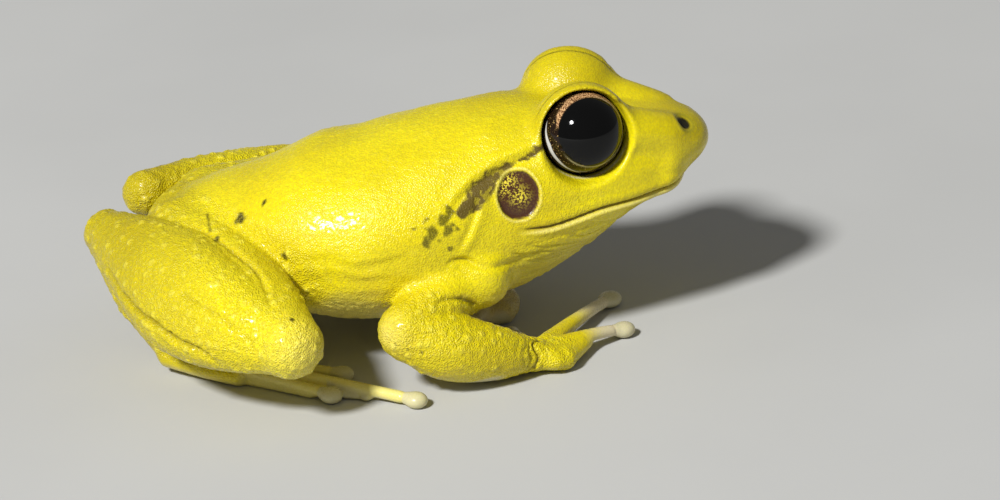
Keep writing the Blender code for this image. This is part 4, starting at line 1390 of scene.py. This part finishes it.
def head_way(parts, sign):
    """A direction given as forward, outward and up, on one side of the head."""
    front, outward, high = parts
    return unit(front * HEAD_FRONT + outward * HEAD_LEFT * sign + high * HEAD_UP)


def angle_from(way, axis):
    """The angle of each direction from an axis, in degrees."""
    return np.degrees(np.arccos(np.clip(way @ axis, -1, 1)))


def eye_marks(way, gaze, sign):
    """The masks of an eye, for directions from its middle."""
    ahead, outward, high = way @ HEAD_FRONT, way @ (HEAD_LEFT * sign), way @ HEAD_UP
    from_gaze = angle_from(way, gaze)
    from_socket = angle_from(way, head_way(SOCKET_FACING, sign))
    round_eye = np.degrees(np.arctan2(high - 0.3 * outward, ahead - 0.1 * outward)) % 360
    from_front = np.abs((round_eye - RING_AT + 180) % 360 - 180)
    jitter = rough(way * 9.0, seed=8)
    copper_wide = np.interp(round_eye, *np.array(COPPER_WIDE).T, period=360) + 2.0 * jitter
    turns, *columns = np.array(WHITE_BAND).T
    white_at, white_wide = (np.interp(round_eye, turns, column) for column in columns)
    return {
        "pupil": 1 - ramp(from_gaze, PUPIL_ANGLE - 1.0, PUPIL_ANGLE + 1.0),
        "copper": 1 - ramp(from_gaze - PUPIL_ANGLE - copper_wide, -2.5, 1.5),
        "white": (1 - ramp(np.abs(from_socket - white_at) - white_wide, -0.8, 0.8)) * (white_wide > 0.1),
        "ring": bell(from_gaze - PUPIL_ANGLE - 2.0, 1.4) * (1 - ramp(from_front, 80, 115)),
    }


print("pupil opened to", 2 * PUPIL_ANGLE, "degrees")

# %% [markdown]
# ## Eyes
# An eye is a glossy ball, which a museum would have made in glass. It is drawn as rings about
# the way it looks, so that the pupil's edge runs along a ring and stays clean. It stands
# for the solid eye, and sits in the ring of lid that the skin leaves open.

# %% Eyes
GAZE = (0.30, 0.89, 0.31)
EYE_RINGS = 160
EYE_SIDES = 256
POLE_GAP = 0.012


def eyeball(side):
    """One eye, in place, with its masks."""
    sign = SIDES[side]
    gaze = head_way(GAZE, sign)
    first = unit(np.cross(HEAD_UP, gaze))
    second = np.cross(gaze, first)
    turn = np.linspace(POLE_GAP, np.pi - POLE_GAP, EYE_RINGS)[:, None]
    round_axis = even(EYE_SIDES)[None, :]
    ways = (np.cos(turn)[..., None] * gaze + (np.sin(turn) * np.cos(round_axis))[..., None] * first
            + (np.sin(turn) * np.sin(round_axis))[..., None] * second)
    points, quads, fans = closed(ways * EYE_RADIUS)
    marks = eye_marks(points / np.linalg.norm(points, axis=1)[:, None], gaze, sign)
    made = dressed("eyeball_" + side, eye_centre(side) + points, quads.tolist() + fans.tolist(), marks)
    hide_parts("eye_" + side)
    return made


eyes = [eyeball(side) for side in SIDES]
print("eyes:", [eye.name for eye in eyes])

# %% [markdown]
# ## Eye material
# Black is the pupil's depth, so its base is nearly nothing and all of its look is the wet
# shine over it. The copper is a dense speckle of light grains over brown.

# %% Eye material
EYE_REGIONS = (("pupil", (0.002, 0.002, 0.002), 1.0), ("ring", (0.50, 0.46, 0.24), 0.7),
               ("white", (0.75, 0.74, 0.70), 0.95))
WATER_IOR = 1.34
eye_material, tree, shader = new_material("frog_eye")
iris_grains = speckle(tree, grain=0.10, drift=1.2, cover=0.5)
gold_flecks = speckle(tree, grain=0.13, drift=1.2, cover=-0.12)
colour = laid_over(tree, (0.014, 0.007, 0.004), (0.55, 0.36, 0.12), gold_flecks["Speckle"])
copper = laid_over(tree, (0.12, 0.045, 0.016), (0.66, 0.40, 0.19), iris_grains["Speckle"])
colour = laid_over(tree, colour, copper, mask(tree, "copper"))
colour = with_regions(tree, colour, EYE_REGIONS)
tree.links.new(colour, shader.inputs["Base Color"])
tree.links.new(stretched(tree, iris_grains["Speckle"], 0.0, 1.0, 0.04, 0.07),
               shader.inputs["Roughness"])
shader.inputs["IOR"].default_value = WATER_IOR
for eye in eyes:
    eye.data.materials.append(eye_material)
print("eye material has", len(tree.nodes), "nodes")

# %% [markdown]
# ## Floor
# A museum model is shown by itself, so the frog rests on a plain pale floor. The floor is
# dull and nearly even, so that it carries the shadow and takes nothing from the frog.

# %% Floor
FLOOR_SIZE = 4.0
FLOOR_GREY = (0.50, 0.50, 0.485)
FLOOR_LIGHT_GREY = (0.53, 0.53, 0.515)
bpy.ops.mesh.primitive_plane_add(size=FLOOR_SIZE, location=(0, 0, 0))
floor = bpy.context.object
floor.name = "floor"
floor_material, tree, shader = new_material("pale_floor")
floor_grain = speckle(tree, grain=1.5, drift=60.0, cover=0.5)
floor_colour = laid_over(tree, FLOOR_GREY, FLOOR_LIGHT_GREY, floor_grain["Drift"])
tree.links.new(floor_colour, shader.inputs["Base Color"])
set_inputs(shader, {"Roughness": 0.85, "Specular IOR Level": 0.2})
floor.data.materials.append(floor_material)
print("floor:", FLOOR_SIZE, "m wide")

# %% [markdown]
# ## Light
# One soft key light stands high on the left, near the camera, where the photograph's light
# came from, so the shine in the eye and the shadows fall as they do there. The studio's
# own dim light fills the rest.

# %% Light
KEY_PLACE = Vector((-0.56, -0.84, 1.0))
KEY_TARGET = Vector((0, 0, 0.01))
KEY_SIZE = 0.20
KEY_POWER = 25.5
STUDIO_STRENGTH = 0.17
key_light = bpy.data.lights.new("key", "AREA")
key_light.shape = "DISK"
key_light.size = KEY_SIZE
key_light.energy = KEY_POWER
key = bpy.data.objects.new("key", key_light)
key.location = KEY_PLACE
key.rotation_mode = "QUATERNION"
key.rotation_quaternion = (KEY_TARGET - KEY_PLACE).to_track_quat("-Z", "Y")
bpy.context.scene.collection.objects.link(key)
world = bpy.data.worlds.new("studio")
bpy.context.scene.world = world
world.use_nodes = True
background = world.node_tree.nodes["Background"]
set_inputs(background, {"Color": (1, 1, 1, 1), "Strength": STUDIO_STRENGTH})
print("key light:", KEY_POWER, "W,", round(KEY_PLACE.length, 2), "m away")
